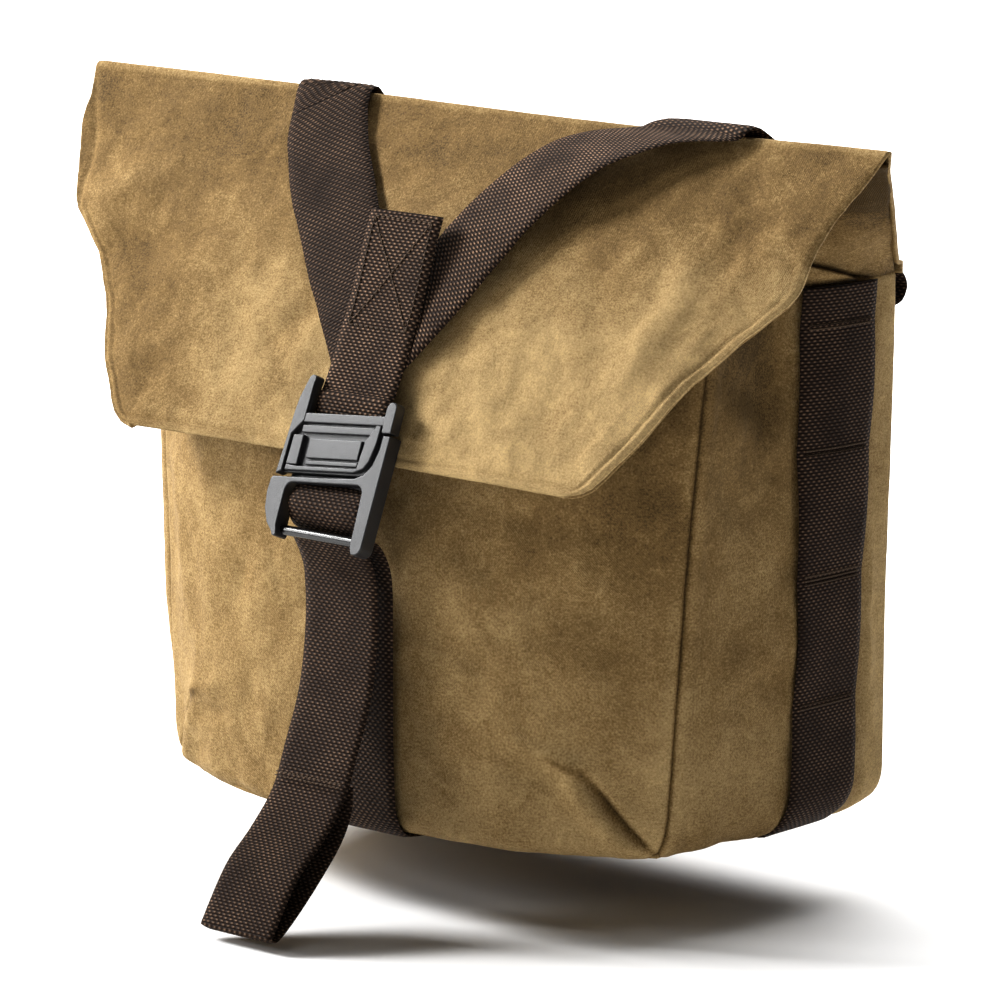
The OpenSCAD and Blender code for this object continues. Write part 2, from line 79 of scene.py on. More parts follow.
EDGE_R = 8.0  # radius of the rolled lower edge
WEB_W = 38.0
WEB_T = 1.5
WEB_COLS = 13  # points across a strap
SIDE_WEB_Y = -37.0
TACK_DROP, TACK_PITCH = 17.0, 50.0  # bar tacks: the first below the rim, then each to the next
LOOP_W = 25.0
BAND_W = 20.0  # the doubled band at the rim of the back
LINER_GAP = 5.2
SEAM_W, SEAM_DARK_W = 0.9, 0.7  # groove at a seam, and its dark line of painted shade
FLAP_LEN = 151.0
RIDGE_HALF, YOKE_HALF = 207.0, 148.5
SLOPE = math.radians(60)
YOKE = math.atan2(RIDGE_Z - H, -RIDGE_Y)
YOKE_RUN = math.hypot(RIDGE_Z - H, RIDGE_Y)
ARC = FOLD_R * (SLOPE + YOKE)
REAR = -ARC - YOKE_RUN  # the rim at the back, as a distance down the flap

# Half widths and bulges: (share of the height, value), and for the flap (mm from the ridge, value)
FRONT_X = [(0, 127), (0.06, 132), (0.5, 138), (1, 147)]
BACK_X = [(0, 132), (0.06, 142), (1, 143)]
BELLY_T = [(0, 0.9), (0.18, 0.98), (0.5, 1), (0.68, 0.92), (0.765, 0.8), (0.83, 0.64),
           (0.885, 0.44), (1, 0.1)]
FLAP_X = [(0, RIDGE_HALF), (14, 200.5), (28, 193.5), (40, 190.5), (58, 188.5), (63, 186),
          (71, 178), (80, 168.5), (98, 154), (124, 140.5), (141, 129.5), (146, 125.5),
          (149, 120.5), (151, 113)]
CROWN = [(0, 0), (0.12, 3.2), (0.36, 8.5), (0.66, 7), (0.87, 4.8), (1, 3)]
LEFT_OUT = [(0, 0), (14, 3), (21, 6), (28, 8), (40, 7.5), (58, 2.5), (68, 0.5), (80, 0), (98, 1),
            (151, 1)]

# Soft folds: from one place to another on the panel, width, height
FRONT_FOLDS = (((-70, 150), (40, 118), 10, 1.3), ((-20, 96), (84, 70), 9, -1.4),
               ((30, 58), (112, 92), 8, 1.1), ((-96, 66), (-20, 40), 9, 1.2),
               ((58, 142), (122, 128), 8, -1.3), ((-118, 128), (-96, 40), 6, 1.1))
SIDE_FOLDS = (((-112, 196), (-70, 170), 6, -1.8), ((-100, 178), (-62, 150), 6, 1.4),
              ((-106, 150), (-74, 124), 6, -1.0), ((-108, 60), (-66, 84), 8, 1.2),
              ((-20, 120), (-8, 20), 4, 1.2))
FLAP_FOLDS = (((-186, 62), (-128, 36), 9, 2.0), ((-176, 84), (-110, 70), 8, -1.4),
              ((-60, 118), (-30, 88), 7, -1.6), ((-150, 128), (-96, 112), 10, 1.2),
              ((150, 38), (120, 118), 9, 2.2), ((176, 62), (150, 104), 7, -1.6),
              ((104, 30), (150, 20), 9, 1.2), ((60, 104), (100, 128), 8, -1.2),
              ((176, 22), (140, 60), 8, -1.2), ((36, 132), (96, 140), 6, 1.0))


def tab(table, v):
    return np.interp(v, [a for a, _ in table], [b for _, b in table])


def smooth_tab(table, v):
    """The table rounded a little at its corners."""
    w = (table[-1][0] - table[0][0]) * 0.012
    return sum(tab(table, np.asarray(v, float) + k * w) for k in (-2, -1, 0, 1, 2)) / 5


def metres(p):
    return (np.asarray(p, float) + (0, 0, BASE_Z)) / 1000


def unit(v):
    v = np.asarray(v, float)
    return v / np.maximum(np.linalg.norm(v, axis=-1, keepdims=True), 1e-9)


def spline(points, n):
    """Catmull-Rom curve through the points, n samples evenly spaced along its length."""
    p = np.asarray(points, float)
    p = np.vstack([2 * p[0] - p[1], p, 2 * p[-1] - p[-2]])
    out = []
    for i in range(1, len(p) - 2):
        t = np.linspace(0, 1, 24, endpoint=False)[:, None]
        a, b, c, d = p[i - 1], p[i], p[i + 1], p[i + 2]
        out.append(0.5 * (2 * b + (c - a) * t + (2 * a - 5 * b + 4 * c - d) * t ** 2
                          + (3 * b - a - 3 * c + d) * t ** 3))
    out = np.vstack(out + [p[-2][None]])
    return resample(out, n)


def lengths(p, axis=0):
    """Running length along one axis of a line or grid of points."""
    steps = np.linalg.norm(np.diff(p, axis=axis), axis=-1)
    return np.concatenate([0 * np.take(steps, [0], axis), np.cumsum(steps, axis)], axis)


def resample(line, n):
    """n points evenly spaced along a polyline."""
    line = np.asarray(line, float)
    s = lengths(line)
    q = np.linspace(0, s[-1], n)
    return np.stack([np.interp(q, s, line[:, k]) for k in range(line.shape[1])], axis=1)


def smooth_step(a, b, v):
    k = np.clip((np.asarray(v, float) - a) / (b - a), 0, 1)
    return k * k * (3 - 2 * k)


def bell(d, width):
    """1 where d is 0, falling off to both sides."""
    return np.exp(-(d / width) ** 2)


def lumps(x, y, size, seed, octaves=3):
    """Smooth repeatable noise between about -1 and 1, at places in mm."""
    x, y = np.broadcast_arrays(np.asarray(x, float), np.asarray(y, float))
    flat = [noise.fractal(Vector((a / size, b / size, seed * 7.31)), 0.6, 2.1, octaves)
            for a, b in zip(x.ravel(), y.ravel())]
    return np.array(flat).reshape(x.shape) * 1.6


def beside(x, y, a, b):
    """Distance across the line from a to b, and the place along it from 0 to 1."""
    a, b = np.asarray(a, float), np.asarray(b, float)
    d = b - a
    length = np.hypot(*d)
    d = d / length
    q = ((x - a[0]) * d[0] + (y - a[1]) * d[1]) / length
    return (x - a[0]) * -d[1] + (y - a[1]) * d[0], q


def bump_line(x, y, a, b, width):
    """1 on the segment from a to b, falling off across it and at its ends."""
    off, q = beside(x, y, a, b)
    return bell(off, width) * np.clip(np.minimum(q, 1 - q) * 3 + 0.35, 0, 1) ** 1.5


# -------- meshes
def build(name, verts, faces, mat, uvs=None, tones_and_painted_shade=None):
    """A mesh object from points in mm. uvs are per point, in mm."""
    me = bpy.data.meshes.new(name)
    me.from_pydata([tuple(v) for v in metres(verts)], [],
                   [tuple(int(i) for i in f) for f in faces])
    me.update()
    if uvs is not None:
        layer = me.uv_layers.new(name="cloth")
        loops = np.empty(len(me.loops), dtype=np.int64)
        me.loops.foreach_get("vertex_index", loops)
        layer.data.foreach_set("uv", (np.asarray(uvs, float)[loops] / 1000).ravel())
    # Per-point tone for the canvas: wear and random tone, with painted light and painted shade
    if tones_and_painted_shade is not None:
        at = me.attributes.new("fade", "FLOAT", "POINT")
        at.data.foreach_set("value", np.asarray(tones_and_painted_shade, float).ravel())
    me.polygons.foreach_set("use_smooth", [True] * len(me.polygons))
    me.materials.append(mat)
    o = bpy.data.objects.new(name, me)
    bpy.context.scene.collection.objects.link(o)
    return o


def cell_faces(rows, cols, start, flip):
    i, j = np.meshgrid(np.arange(rows - 1), np.arange(cols - 1), indexing="ij")
    a = start + i * cols + j
    quad = np.stack([a, a + 1, a + 1 + cols, a + cols], axis=-1).reshape(-1, 4)
    return quad[:, ::-1] if flip else quad


def ring_faces(rows, k):
    """Faces between closed rings of k points, one ring after the other."""
    i, j = np.meshgrid(np.arange(rows - 1), np.arange(k), indexing="ij")
    a, b = i * k + j, i * k + (j + 1) % k
    return np.stack([a, b, b + k, a + k], axis=-1).reshape(-1, 4).tolist()


def grid_uv(p):
    """Lengths along the grid's rows and columns, in mm."""
    u = lengths(p, 1)
    u = u - u[:, p.shape[1] // 2][:, None]
    return np.stack([u, lengths(p).mean(axis=1, keepdims=True) + 0 * u], axis=-1)


def grid_normals(p):
    return unit(np.cross(np.gradient(p, axis=1), np.gradient(p, axis=0)))


def cloth(name, p, mat, outward, thickness=1.6, shift=(0, 0), tones_and_painted_shade=0.0):
    """A sheet with its visible face on the grid p; outward is a rough direction out of it."""
    n = grid_normals(p)
    flip = (n.reshape(-1, 3).mean(axis=0) * np.asarray(outward)).sum() < 0
    if flip:
        n = -n
    rows, cols = p.shape[:2]
    inner = p - n * thickness
    verts = np.vstack([p.reshape(-1, 3), inner.reshape(-1, 3)])
    faces = [cell_faces(rows, cols, 0, flip), cell_faces(rows, cols, rows * cols, not flip)]
    at = np.arange(rows * cols).reshape(rows, cols)
    ids = np.concatenate([at[0], at[1:, -1], at[-1, -2::-1], at[-2:0:-1, 0]])
    nxt = np.roll(ids, -1)
    side = np.stack([ids, ids + rows * cols, nxt + rows * cols, nxt], axis=-1)
    faces.append(side[:, ::-1] if flip else side)
    uv = grid_uv(p).reshape(-1, 2) + np.asarray(shift, float)
    tones_and_painted_shade = np.tile(np.ravel(np.broadcast_to(tones_and_painted_shade, p.shape[:2])), 2)
    return build(name, verts, np.vstack(faces), mat, np.vstack([uv, uv]), tones_and_painted_shade)


def webbing(name, p, mat, thickness=WEB_T, shift=(0, 0)):
    """A strap whose middle surface is the grid p, with rounded selvedges."""
    n = grid_normals(p)
    rows, cols = p.shape[:2]
    q = np.linspace(-1, 1, cols)
    half = thickness / 2 * np.sqrt(np.clip(1 - np.abs(q) ** 10, 0.02, 1))[None, :, None]
    ring = np.concatenate([p + n * half, (p - n * half)[:, ::-1]], axis=1)
    k = ring.shape[1]
    faces = ring_faces(rows, k)
    faces += [list(range(k))[::-1], [(rows - 1) * k + x for x in range(k)]]
    uv = grid_uv(p) + np.asarray(shift, float)
    uvs = np.concatenate([uv, uv[:, ::-1]], axis=1).reshape(-1, 2)
    o = build(name, ring.reshape(-1, 3), faces, mat, uvs)
    fix_normals(o)
    return o


def fix_normals(o):
    bm = bmesh.new()
    bm.from_mesh(o.data)
    bmesh.ops.recalc_face_normals(bm, faces=bm.faces)
    bm.to_mesh(o.data)
    bm.free()


def across(width=WEB_W):
    """Places across a strap, from its middle."""
    return np.linspace(-0.5, 0.5, WEB_COLS) * width


def ribbon(name, path, mat, n, x=HX, width=WEB_W, thickness=WEB_T, shift=(0, 0)):
    """Strap of constant width across X whose middle runs through (y, z) points."""
    line = spline(path, n)
    p = np.stack(np.broadcast_arrays(x + across(width)[None, :], line[:, :1], line[:, 1:]), axis=-1)
    return webbing(name, p, mat, thickness, shift)


def stitches(name, lines, pitch, length, radius, body="bag"):
    """Short raised threads along polylines given in mm."""
    ring = 6
    stations = [(-0.5, 0.05), (-0.42, 0.7), (-0.22, 1), (0.22, 1), (0.42, 0.7), (0.5, 0.05)]
    verts, faces = [], []
    for line in lines:
        line = np.asarray(line, float)
        count = max(int(lengths(line)[-1] / pitch), 1)
        pts = resample(line, 2 * count + 1)
        for i in range(count):
            c, d = pts[2 * i + 1], unit(pts[2 * i + 2] - pts[2 * i])
            side = unit(np.cross(d, [0.31, 0.52, 0.8]))
            up = np.cross(d, side)
            base = len(verts)
            for along, r in stations:
                for k in range(ring):
                    a = 2 * math.pi * k / ring
                    verts.append(c + d * along * length
                                 + (side * math.cos(a) + up * math.sin(a)) * radius * r)
            faces += [[base + i for i in f] for f in ring_faces(len(stations), ring)]
            last = base + (len(stations) - 1) * ring
            faces.append(tuple(base + k for k in range(ring))[::-1])
            faces.append(tuple(last + k for k in range(ring)))
    o = build(name, np.array(verts), faces, THREAD)
    fix_normals(o)
    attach(o, body)
    return o


# -------- material nodes
class Tree:
    """A material under construction; its methods add nodes and return their outputs."""

    def __init__(self, name):
        self.mat = bpy.data.materials.new(name)
        self.mat.use_nodes = True
        self.t = self.mat.node_tree
        self.t.nodes.clear()
        self.out = self.t.nodes.new("ShaderNodeOutputMaterial")
        self.bsdf = self.t.nodes.new("ShaderNodeBsdfPrincipled")
        self.t.links.new(self.bsdf.outputs[0], self.out.inputs[0])

    def put(self, node, key, value):
        socket = node.inputs[key]
        if isinstance(value, bpy.types.NodeSocket):
            self.t.links.new(value, socket)
        else:
            socket.default_value = value

    def node(self, kind, ins=None, out=0, **props):
        n = self.t.nodes.new(kind)
        for k, v in props.items():
            setattr(n, k, v)
        for k, v in (ins or {}).items():
            self.put(n, k, v)
        return n.outputs[out]

    def m(self, op, a, b=0.0, c=0.0):
        return self.node("ShaderNodeMath", {0: a, 1: b, 2: c}, operation=op)

    def mix(self, f, a, b):
        n = self.t.nodes.new("ShaderNodeMix")
        n.data_type = "RGBA"
        self.put(n, 0, f)
        self.put(n, 6, a)
        self.put(n, 7, b)
        return n.outputs[2]

    def ramp(self, f, stops):
        n = self.t.nodes.new("ShaderNodeValToRGB")
        e = n.color_ramp.elements
        while len(e) < len(stops):
            e.new(0.5)
        for el, (pos, col) in zip(e, stops):
            el.position = pos
            el.color = (*col, 1)
        self.put(n, 0, f)
        return n.outputs[0]

    def noise(self, at, scale, detail=3.0, rough=0.55, distort=0.0):
        return self.node("ShaderNodeTexNoise", {"Vector": at, "Scale": scale, "Detail": detail,
                                                "Roughness": rough, "Distortion": distort})

    def times(self, vector, factors):
        return self.node("ShaderNodeVectorMath", {0: vector, 1: factors}, operation="MULTIPLY")

    def uv_mm(self):
        return self.times(self.node("ShaderNodeTexCoord", out=2), (1000, 1000, 1000))

    def object_mm(self):
        return self.times(self.node("ShaderNodeTexCoord", out=3), (1000, 1000, 1000))

    def split(self, v):
        n = self.t.nodes.new("ShaderNodeSeparateXYZ")
        self.put(n, 0, v)
        return n.outputs[0], n.outputs[1]

    def fade(self):
        return self.node("ShaderNodeAttribute", attribute_name="fade", out=2)

    def bump(self, height, distance, strength=1.0, normal=None):
        ins = {"Height": height, "Distance": distance, "Strength": strength}
        if normal is not None:
            ins["Normal"] = normal
        return self.node("ShaderNodeBump", ins)

    def finish(self, **sockets):
        for k, v in sockets.items():
            self.put(self.bsdf, k.replace("_", " "), v)
        return self.mat


def tinted(colour, factor):
    """The colour times a factor, with its alpha."""
    return (*(min(c * factor, 1) for c in colour), 1)


def canvas_material(name, dark, mid, light, weave=0.95):
    """Waxed cloth: stains, grain, flecks and rubbed creases over a plain weave, pitch in mm."""
    t = Tree(name)
    at = t.uv_mm()
    u, v = t.split(at)
    broad = t.noise(at, 0.019, 3, 0.6, 0.6)
    cloud = t.noise(at, 0.062, 5, 0.62, 0.9)
    grain = t.noise(at, 1.15, 2, 0.75)
    fleck = t.noise(at, 0.42, 4, 0.75)
    f = t.m("MULTIPLY_ADD", broad, 0.42, 0.33)
    for layer, weight in ((cloud, 0.42), (grain, 1.1), (fleck, 0.6)):
        f = t.m("ADD", f, t.m("MULTIPLY_ADD", layer, weight, -weight / 2))
    # Add the per-point tone from the mesh: rubbed wear and random tone, painted light and painted
    # shade
    f = t.m("ADD", f, t.fade())
    # Pale rubbed creases
    vein = t.m("ABSOLUTE", t.m("SUBTRACT", t.noise(at, 0.028, 4, 0.6, 1.5), 0.5))
    vein = t.m("SUBTRACT", 1.0, t.m("MULTIPLY", vein, 26.0))
    vein = t.m("MAXIMUM", vein, 0.0)
    vein = t.m("MULTIPLY", vein, t.m("MAXIMUM", t.m("MULTIPLY_ADD", cloud, 3.0, -1.35), 0.0))
    f = t.m("ADD", f, t.m("MULTIPLY", vein, 0.16))
    colour = t.ramp(f, [(0.0, dark), (0.42, mid), (0.8, light), (1.0, tinted(light, 1.25)[:3])])
    warp = t.m("SINE", t.m("MULTIPLY", u, 2 * math.pi / weave))
    weft = t.m("SINE", t.m("MULTIPLY", v, 2 * math.pi / weave))
    plain = t.m("MULTIPLY", warp, weft)
    colour = t.mix(t.m("MULTIPLY_ADD", plain, 0.10, 0.10), colour, tinted(mid, 0.45))
    height = t.m("ADD", t.m("MULTIPLY", plain, 0.5), t.m("MULTIPLY", grain, 1.6))
    normal = t.bump(height, 0.00016, 0.9)
    normal = t.bump(t.m("ADD", cloud, t.m("MULTIPLY", fleck, 0.5)), 0.0009, 0.55, normal)
    rough = t.m("MULTIPLY_ADD", cloud, 0.22, 0.56)
    return t.finish(Base_Color=colour, Roughness=rough, Normal=normal, Specular_IOR_Level=0.1)


def webbing_material(name, glint):
    """Coarse nylon webbing: staggered rows of raised yarns whose tops are lighter, a painted
    highlight that glint scales.
    """
    dark, light = (0.017, 0.0095, 0.0062, 1), (0.38, 0.245, 0.16, 1)
    pitch_u, pitch_v = 2.7, 1.35
    t = Tree(name)
    at = t.uv_mm()
    u, v = t.split(at)
    wob = t.noise(at, 0.25, 2, 0.5)
    v = t.m("ADD", v, t.m("MULTIPLY", wob, 0.5))
    row = t.m("DIVIDE", v, pitch_v)
    # Rows are counted from an even number far below, which keeps them positive
    odd = t.m("MODULO", t.m("FLOOR", t.m("ADD", row, 4000.0)), 2.0)
    col = t.m("ADD", t.m("DIVIDE", u, pitch_u), t.m("MULTIPLY", odd, 0.5))
    rib = t.m("ABSOLUTE", t.m("SINE", t.m("MULTIPLY", row, math.pi)))
    dot = t.m("MULTIPLY_ADD", t.m("COSINE", t.m("MULTIPLY", col, 2 * math.pi)), 0.5, 0.5)
    yarn = t.m("MULTIPLY", t.m("POWER", rib, 0.7), t.m("MULTIPLY_ADD", dot, 0.55, 0.45))
    vary = t.noise(at, 0.05, 3, 0.6)
    fine = t.noise(at, 1.6, 2, 0.6)
    f = t.m("MULTIPLY", t.m("POWER", yarn, 4.0), t.m("MULTIPLY_ADD", vary, 1.5, -0.2))
    f = t.m("MULTIPLY", f, t.m("MULTIPLY_ADD", fine, 1.1, 0.35))
    colour = t.mix(t.m("MINIMUM", t.m("MULTIPLY", f, glint * 2), 1.0), dark, light)
    height = t.m("ADD", yarn, t.m("MULTIPLY", fine, 0.25))
    normal = t.bump(height, 0.0005, 1.0)
    return t.finish(Base_Color=colour, Roughness=0.62, Normal=normal, Specular_IOR_Level=0.1)


def plastic_material(name, colour, rough):
    """Moulded plastic with fine grit and rubbed patches."""
    t = Tree(name)
    at = t.object_mm()
    grit = t.noise(at, 1.9, 3, 0.6)
    rub = t.noise(at, 0.12, 4, 0.6)
    col = t.mix(t.m("MULTIPLY", rub, 0.6), (*colour, 1), tinted(colour, 1.7))
    normal = t.bump(grit, 0.00012, 0.55)
    return t.finish(Base_Color=col, Roughness=t.m("MULTIPLY_ADD", rub, 0.18, rough - 0.09),
                    Normal=normal, Specular_IOR_Level=0.7)


def metal_material(name, colour, rough):
    """Drawn metal with faint lines along X."""
    t = Tree(name)
    at = t.object_mm()
    line = t.noise(t.times(at, (0.12, 3.0, 3.0)), 1.0, 3, 0.6)
    col = t.mix(line, tinted(colour, 0.82), (*colour, 1))
    normal = t.bump(line, 0.00005, 0.4)
    return t.finish(Base_Color=col, Roughness=t.m("MULTIPLY_ADD", line, 0.16, rough - 0.08),
                    Metallic=1.0, Normal=normal)


def thread_material(name, colour):
    """Twisted thread with some fuzz."""
    t = Tree(name)
    at = t.object_mm()
    fuzz = t.noise(at, 2.4, 2, 0.6)
    col = t.mix(fuzz, tinted(colour, 0.55), (*colour, 1))
    return t.finish(Base_Color=col, Roughness=0.7, Normal=t.bump(fuzz, 0.0002, 0.6),
                    Specular_IOR_Level=0.35)


CANVAS = canvas_material("waxed_canvas", (0.07, 0.042, 0.0135), (0.245, 0.159, 0.064),
                         (0.47, 0.342, 0.17))
WEB = webbing_material("brown_webbing", glint=0.48)
# A lit copy of the webbing with stronger painted highlights, for the tab and the right strap
LIT_WEB = webbing_material("lit_webbing", glint=0.85)
LINING = canvas_material("lining_cloth", (0.07, 0.065, 0.055), (0.12, 0.112, 0.095),
                         (0.19, 0.18, 0.155), weave=0.6)
PLASTIC = plastic_material("satin_plastic", (0.018, 0.018, 0.019), 0.4)
METAL = metal_material("satin_metal", (0.085, 0.085, 0.084), 0.27)
THREAD = thread_material("brown_thread", (0.11, 0.07, 0.04))
BOARD = canvas_material("board", (0.05, 0.05, 0.05), (0.09, 0.09, 0.088), (0.14, 0.14, 0.135),
                        weave=0.5)

# -------- shape of the bag


def seam_y(z):
    """Y of the front seams at a height."""
    return -(DEPTH - SETBACK * z / H)


def front_point(t, z):
    """The front's smooth shape: t from -1 to 1 between the seams, z from the base."""
    hx = smooth_tab(FRONT_X, z / H)
    b = BELLY * smooth_tab(BELLY_T, z / H)
    return np.stack([t * hx, seam_y(z) - b * (1 - np.abs(t) ** 2.8), z + 0 * t], axis=-1)


def side_point(side, t, z):
    """A side's smooth shape: t from 0 at the front seam to 1 at the back, z from the base."""
    fx, bx = smooth_tab(FRONT_X, z / H), smooth_tab(BACK_X, z / H)
    x = side * (fx * (1 - t) + bx * t + 4 * BOW * t * (1 - t))
    return np.stack([x, seam_y(z) * (1 - t), z + 0 * t], axis=-1)


def panel(fn, ts, count):
    """Grid of points from the rolled lower edge up to the rim, and how far in each row lies."""
    curl = np.linspace(math.radians(88), 0, 9)
    zs = np.concatenate([EDGE_R - EDGE_R * np.sin(curl), np.linspace(EDGE_R, H, count)[1:]])
    ins = np.concatenate([EDGE_R - EDGE_R * np.cos(curl), np.zeros(count - 1)])
    t, z, ins = np.broadcast_arrays(np.asarray(ts)[None, :], zs[:, None], ins[:, None])
    return fn(t, z), ins


# Front panel: its columns are closer together near the seams
ts = np.linspace(-1, 1, 241)
ts = np.sign(ts) * (1 - (1 - np.abs(ts)) ** 1.25)
p, ins = panel(front_point, ts, 180)
n = grid_normals(p)
n = np.where(n[..., 1:2] > 0, -n, n)
T = np.broadcast_to(ts[None, :], p.shape[:2])
hx = smooth_tab(FRONT_X, p[..., 2] / H)
edge = (1 - np.abs(T)) * hx
x, z = p[..., 0], p[..., 2]
lift = 1.7 * lumps(x, z, 70, 1) * np.clip(edge / 30, 0, 1)
lift += 0.55 * lumps(x, z * 0.8, 22, 2) * np.clip(edge / 14, 0, 1)
lift += 0.8 * bell(edge - 5, 3.5) - 2.6 * bell(edge, SEAM_W)
crease = 0 * x
for side in (-1, 1):
    # A sharp crease runs up from the lower corner, and the cloth swells above it
    across_x = x * side
    lift -= 3.2 * bump_line(across_x, z, (128, 0), (104, 35), 1.7)
    crease += bump_line(across_x, z, (128, 0), (104, 35), 1.2)
    crease += 0.6 * bump_line(across_x, z, (106, 33), (90, 41), 1.6)
    off, q = beside(across_x, z, (127, 1), (102, 38))
    swell = bell(np.abs(off) - 6.5, 5.5) * np.clip(np.minimum(q, 1 - q) * 4, 0, 1)
    lift += 3.2 * np.where(off < 0, 0, swell)
    lift += 2.0 * bump_line(across_x, z, (106, 36), (72, 47), 4.2)
    lift -= 1.5 * bump_line(across_x, z, (103, 27), (70, 34), 4.0)
for a, b, w, h in FRONT_FOLDS:
    lift += h * bump_line(x, z, a, b, w)
# Painted shade in each seam's groove and along the corner crease, with a painted highlight on the
# strip beside the seam
shade = 0.07 * bell(edge - 3, 2) - 0.9 * bell(edge, SEAM_DARK_W) - 0.6 * crease
shade += 0.04 * lumps(x, z, 55, 5)
# Painted shade on the right part of the front, a painted shadow below the flap's edge, and painted
# light on the lower middle
shade -= 0.13 * smooth_step(50, 125, x) * smooth_step(40, 110, z)
shade -= 0.1 * smooth_step(92, 135, z) * smooth_step(-95, -30, x)
shade += 0.12 * smooth_step(80, 20, z) * smooth_step(-40, 60, x)
p = p + n * lift[..., None]
p[..., 1] += ins
p[..., 0] -= ins * np.sign(T) * np.abs(T) ** 8
o = cloth("front_canvas", p, CANVAS, (0, -1, 0), shift=(40, 10), tones_and_painted_shade=shade)
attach(o, "bag")
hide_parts("front_panel")

# Side panels: hollow under the flap's edge, flared at the upper back corner


def side_drape(side, y, z):
    """How far the canvas side stands out from its flat cut."""
    high = smooth_step(70, 200, z)
    out = -11 * high * bell(y + 70, 24) * smooth_step(-116, -98, y)
    out = out + 4.5 * bell(y, 24) * (0.45 + 0.55 * high)
    if side < 0:
        behind = y - seam_y(z)
        bulge = (1 - np.exp(-behind / 5.0)) * bell(behind, 52)
        out = out * 0.6 + 10 * bulge * smooth_step(8, 70, z) * smooth_step(222, 190, z)
    return out * smooth_step(-1, 12, z)


for side, word in ((-1, "left"), (1, "right")):
    ts = 0.35 * (1 - np.cos(np.linspace(0, math.pi, 75))) + 0.3 * np.linspace(0, 1, 75)
    p, ins = panel(lambda t, z: side_point(side, t, z), ts, 96)
    n = grid_normals(p)
    n = np.where(n[..., 0:1] * side < 0, -n, n)
    y, z = p[..., 1], p[..., 2]
    # Distances from the front seam and from the back edge
    ef = ts[None, :] * (-seam_y(z))
    eb = (1 - ts[None, :]) * (-seam_y(z))
    web = np.abs(y - SIDE_WEB_Y) < 22
    lift = 1.5 * lumps(y, z, 55, 11 + side) * np.clip(np.minimum(ef, eb) / 24, 0, 1)
    lift += 0.5 * lumps(y, z, 18, 21 + side) * np.clip(np.minimum(ef, eb) / 10, 0, 1)
    lift = np.where(web, np.minimum(lift, 0.1), lift)
    lift -= 2.6 * bell(ef, SEAM_W) + 1.2 * bell(eb, 1.4)
    lift += 0.7 * bell(ef - 5, 3.0)
    lift -= 1.2 * bell(H - z, 1.0)
    for a, b, w, h in SIDE_FOLDS:
        lift += np.where(web, 0, h) * bump_line(y, z, a, b, w)
    # Painted shade in the front seam's groove and the groove below the rim, and a painted highlight
    # beside the seam; painted light on the rear strip behind the webbing, a painted shadow below
    # the flap at the upper front, painted shade over the whole side, and painted light towards the
    # base
    shade = 0.03 * lumps(y, z, 40, 31) - 0.9 * bell(ef, SEAM_DARK_W) - 0.5 * bell(H - z, 1.0)
    shade += 0.07 * bell(ef - 3, 2) + 0.23 * smooth_step(-19, -12, y)
    shade -= 0.33 * smooth_step(110, 205, z) * smooth_step(-50, -75, y) + 0.05
    shade += 0.09 * smooth_step(90, 20, z)
    p = p + n * lift[..., None]
    p[..., 0] += side * (side_drape(side, y, z) - ins)
    p[..., 1] += ins * ((1 - ts[None, :]) ** 8 - ts[None, :] ** 8)
    o = cloth("side_canvas_" + word, p, CANVAS, (side, 0, 0), shift=(400 * side, 90),
              tones_and_painted_shade=shade)
    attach(o, "bag")
    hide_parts("side_panel_" + word)

# Back panel with the seam of its doubled band
p, ins = panel(lambda t, z: np.stack([t * smooth_tab(BACK_X, z / H), 0 * t, z], axis=-1),
               np.linspace(-1, 1, 91), 70)
x, z = p[..., 0], p[..., 2]
half = smooth_tab(BACK_X, z / H)
edge = half - np.abs(x)
dip = -1.5 * bell(edge, 2.2) - 0.8 * bell(z - (H - BAND_W), 1.0)
dip += 0.35 * lumps(x, z, 40, 41) - 0.4
for side in (-1, 1):
    p[..., 0] += side * side_drape(side, 0.0, z) * smooth_step(0.8, 1.0, side * x / half)
p[..., 1] = dip - ins
p[..., 0] -= ins * np.sign(x) * np.abs(x / half) ** 8
# Painted shade along the back's side seams
o = cloth("back_canvas", p, CANVAS, (0, 1, 0), shift=(-500, 300), tones_and_painted_shade=-0.06 * bell(edge, 4))
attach(o, "bag")
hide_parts("back_panel", "rear_rim_band")

# Base: from the front panel's foot straight back, a little inside the walls
k, t = np.linspace(0, 1, 61)[:, None], np.linspace(-1, 1, 81)
foot = front_point(t, 0.0)
x = 0.975 * (foot[:, 0] * (1 - k) + t * BACK_X[0][1] * k)
y = 0.955 * foot[:, 1] * (1 - k) - 3
edge = np.minimum(np.minimum(k, 1 - k) * 150, (1 - np.abs(t)) * 130)
z = 0.9 - 0.8 * np.clip(edge / 8, 0, 1) + 0.25 * lumps(x, y, 30, 51)
p = np.stack([x, y, z], axis=-1)
o = cloth("base_canvas", p, CANVAS, (0, 0, -1), shift=(700, 200))
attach(o, "bag")
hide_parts("bottom_panel")

# -------- flap, ridge and yoke


def flap_at(x, s, n):
    """A place on the closed flap: s down from the ridge, n out of its plane."""
    return np.stack([x + 0 * s, RIDGE_Y - s * math.cos(SLOPE) - n * math.sin(SLOPE),
                     RIDGE_Z - s * math.sin(SLOPE) + n * math.cos(SLOPE)], axis=-1)


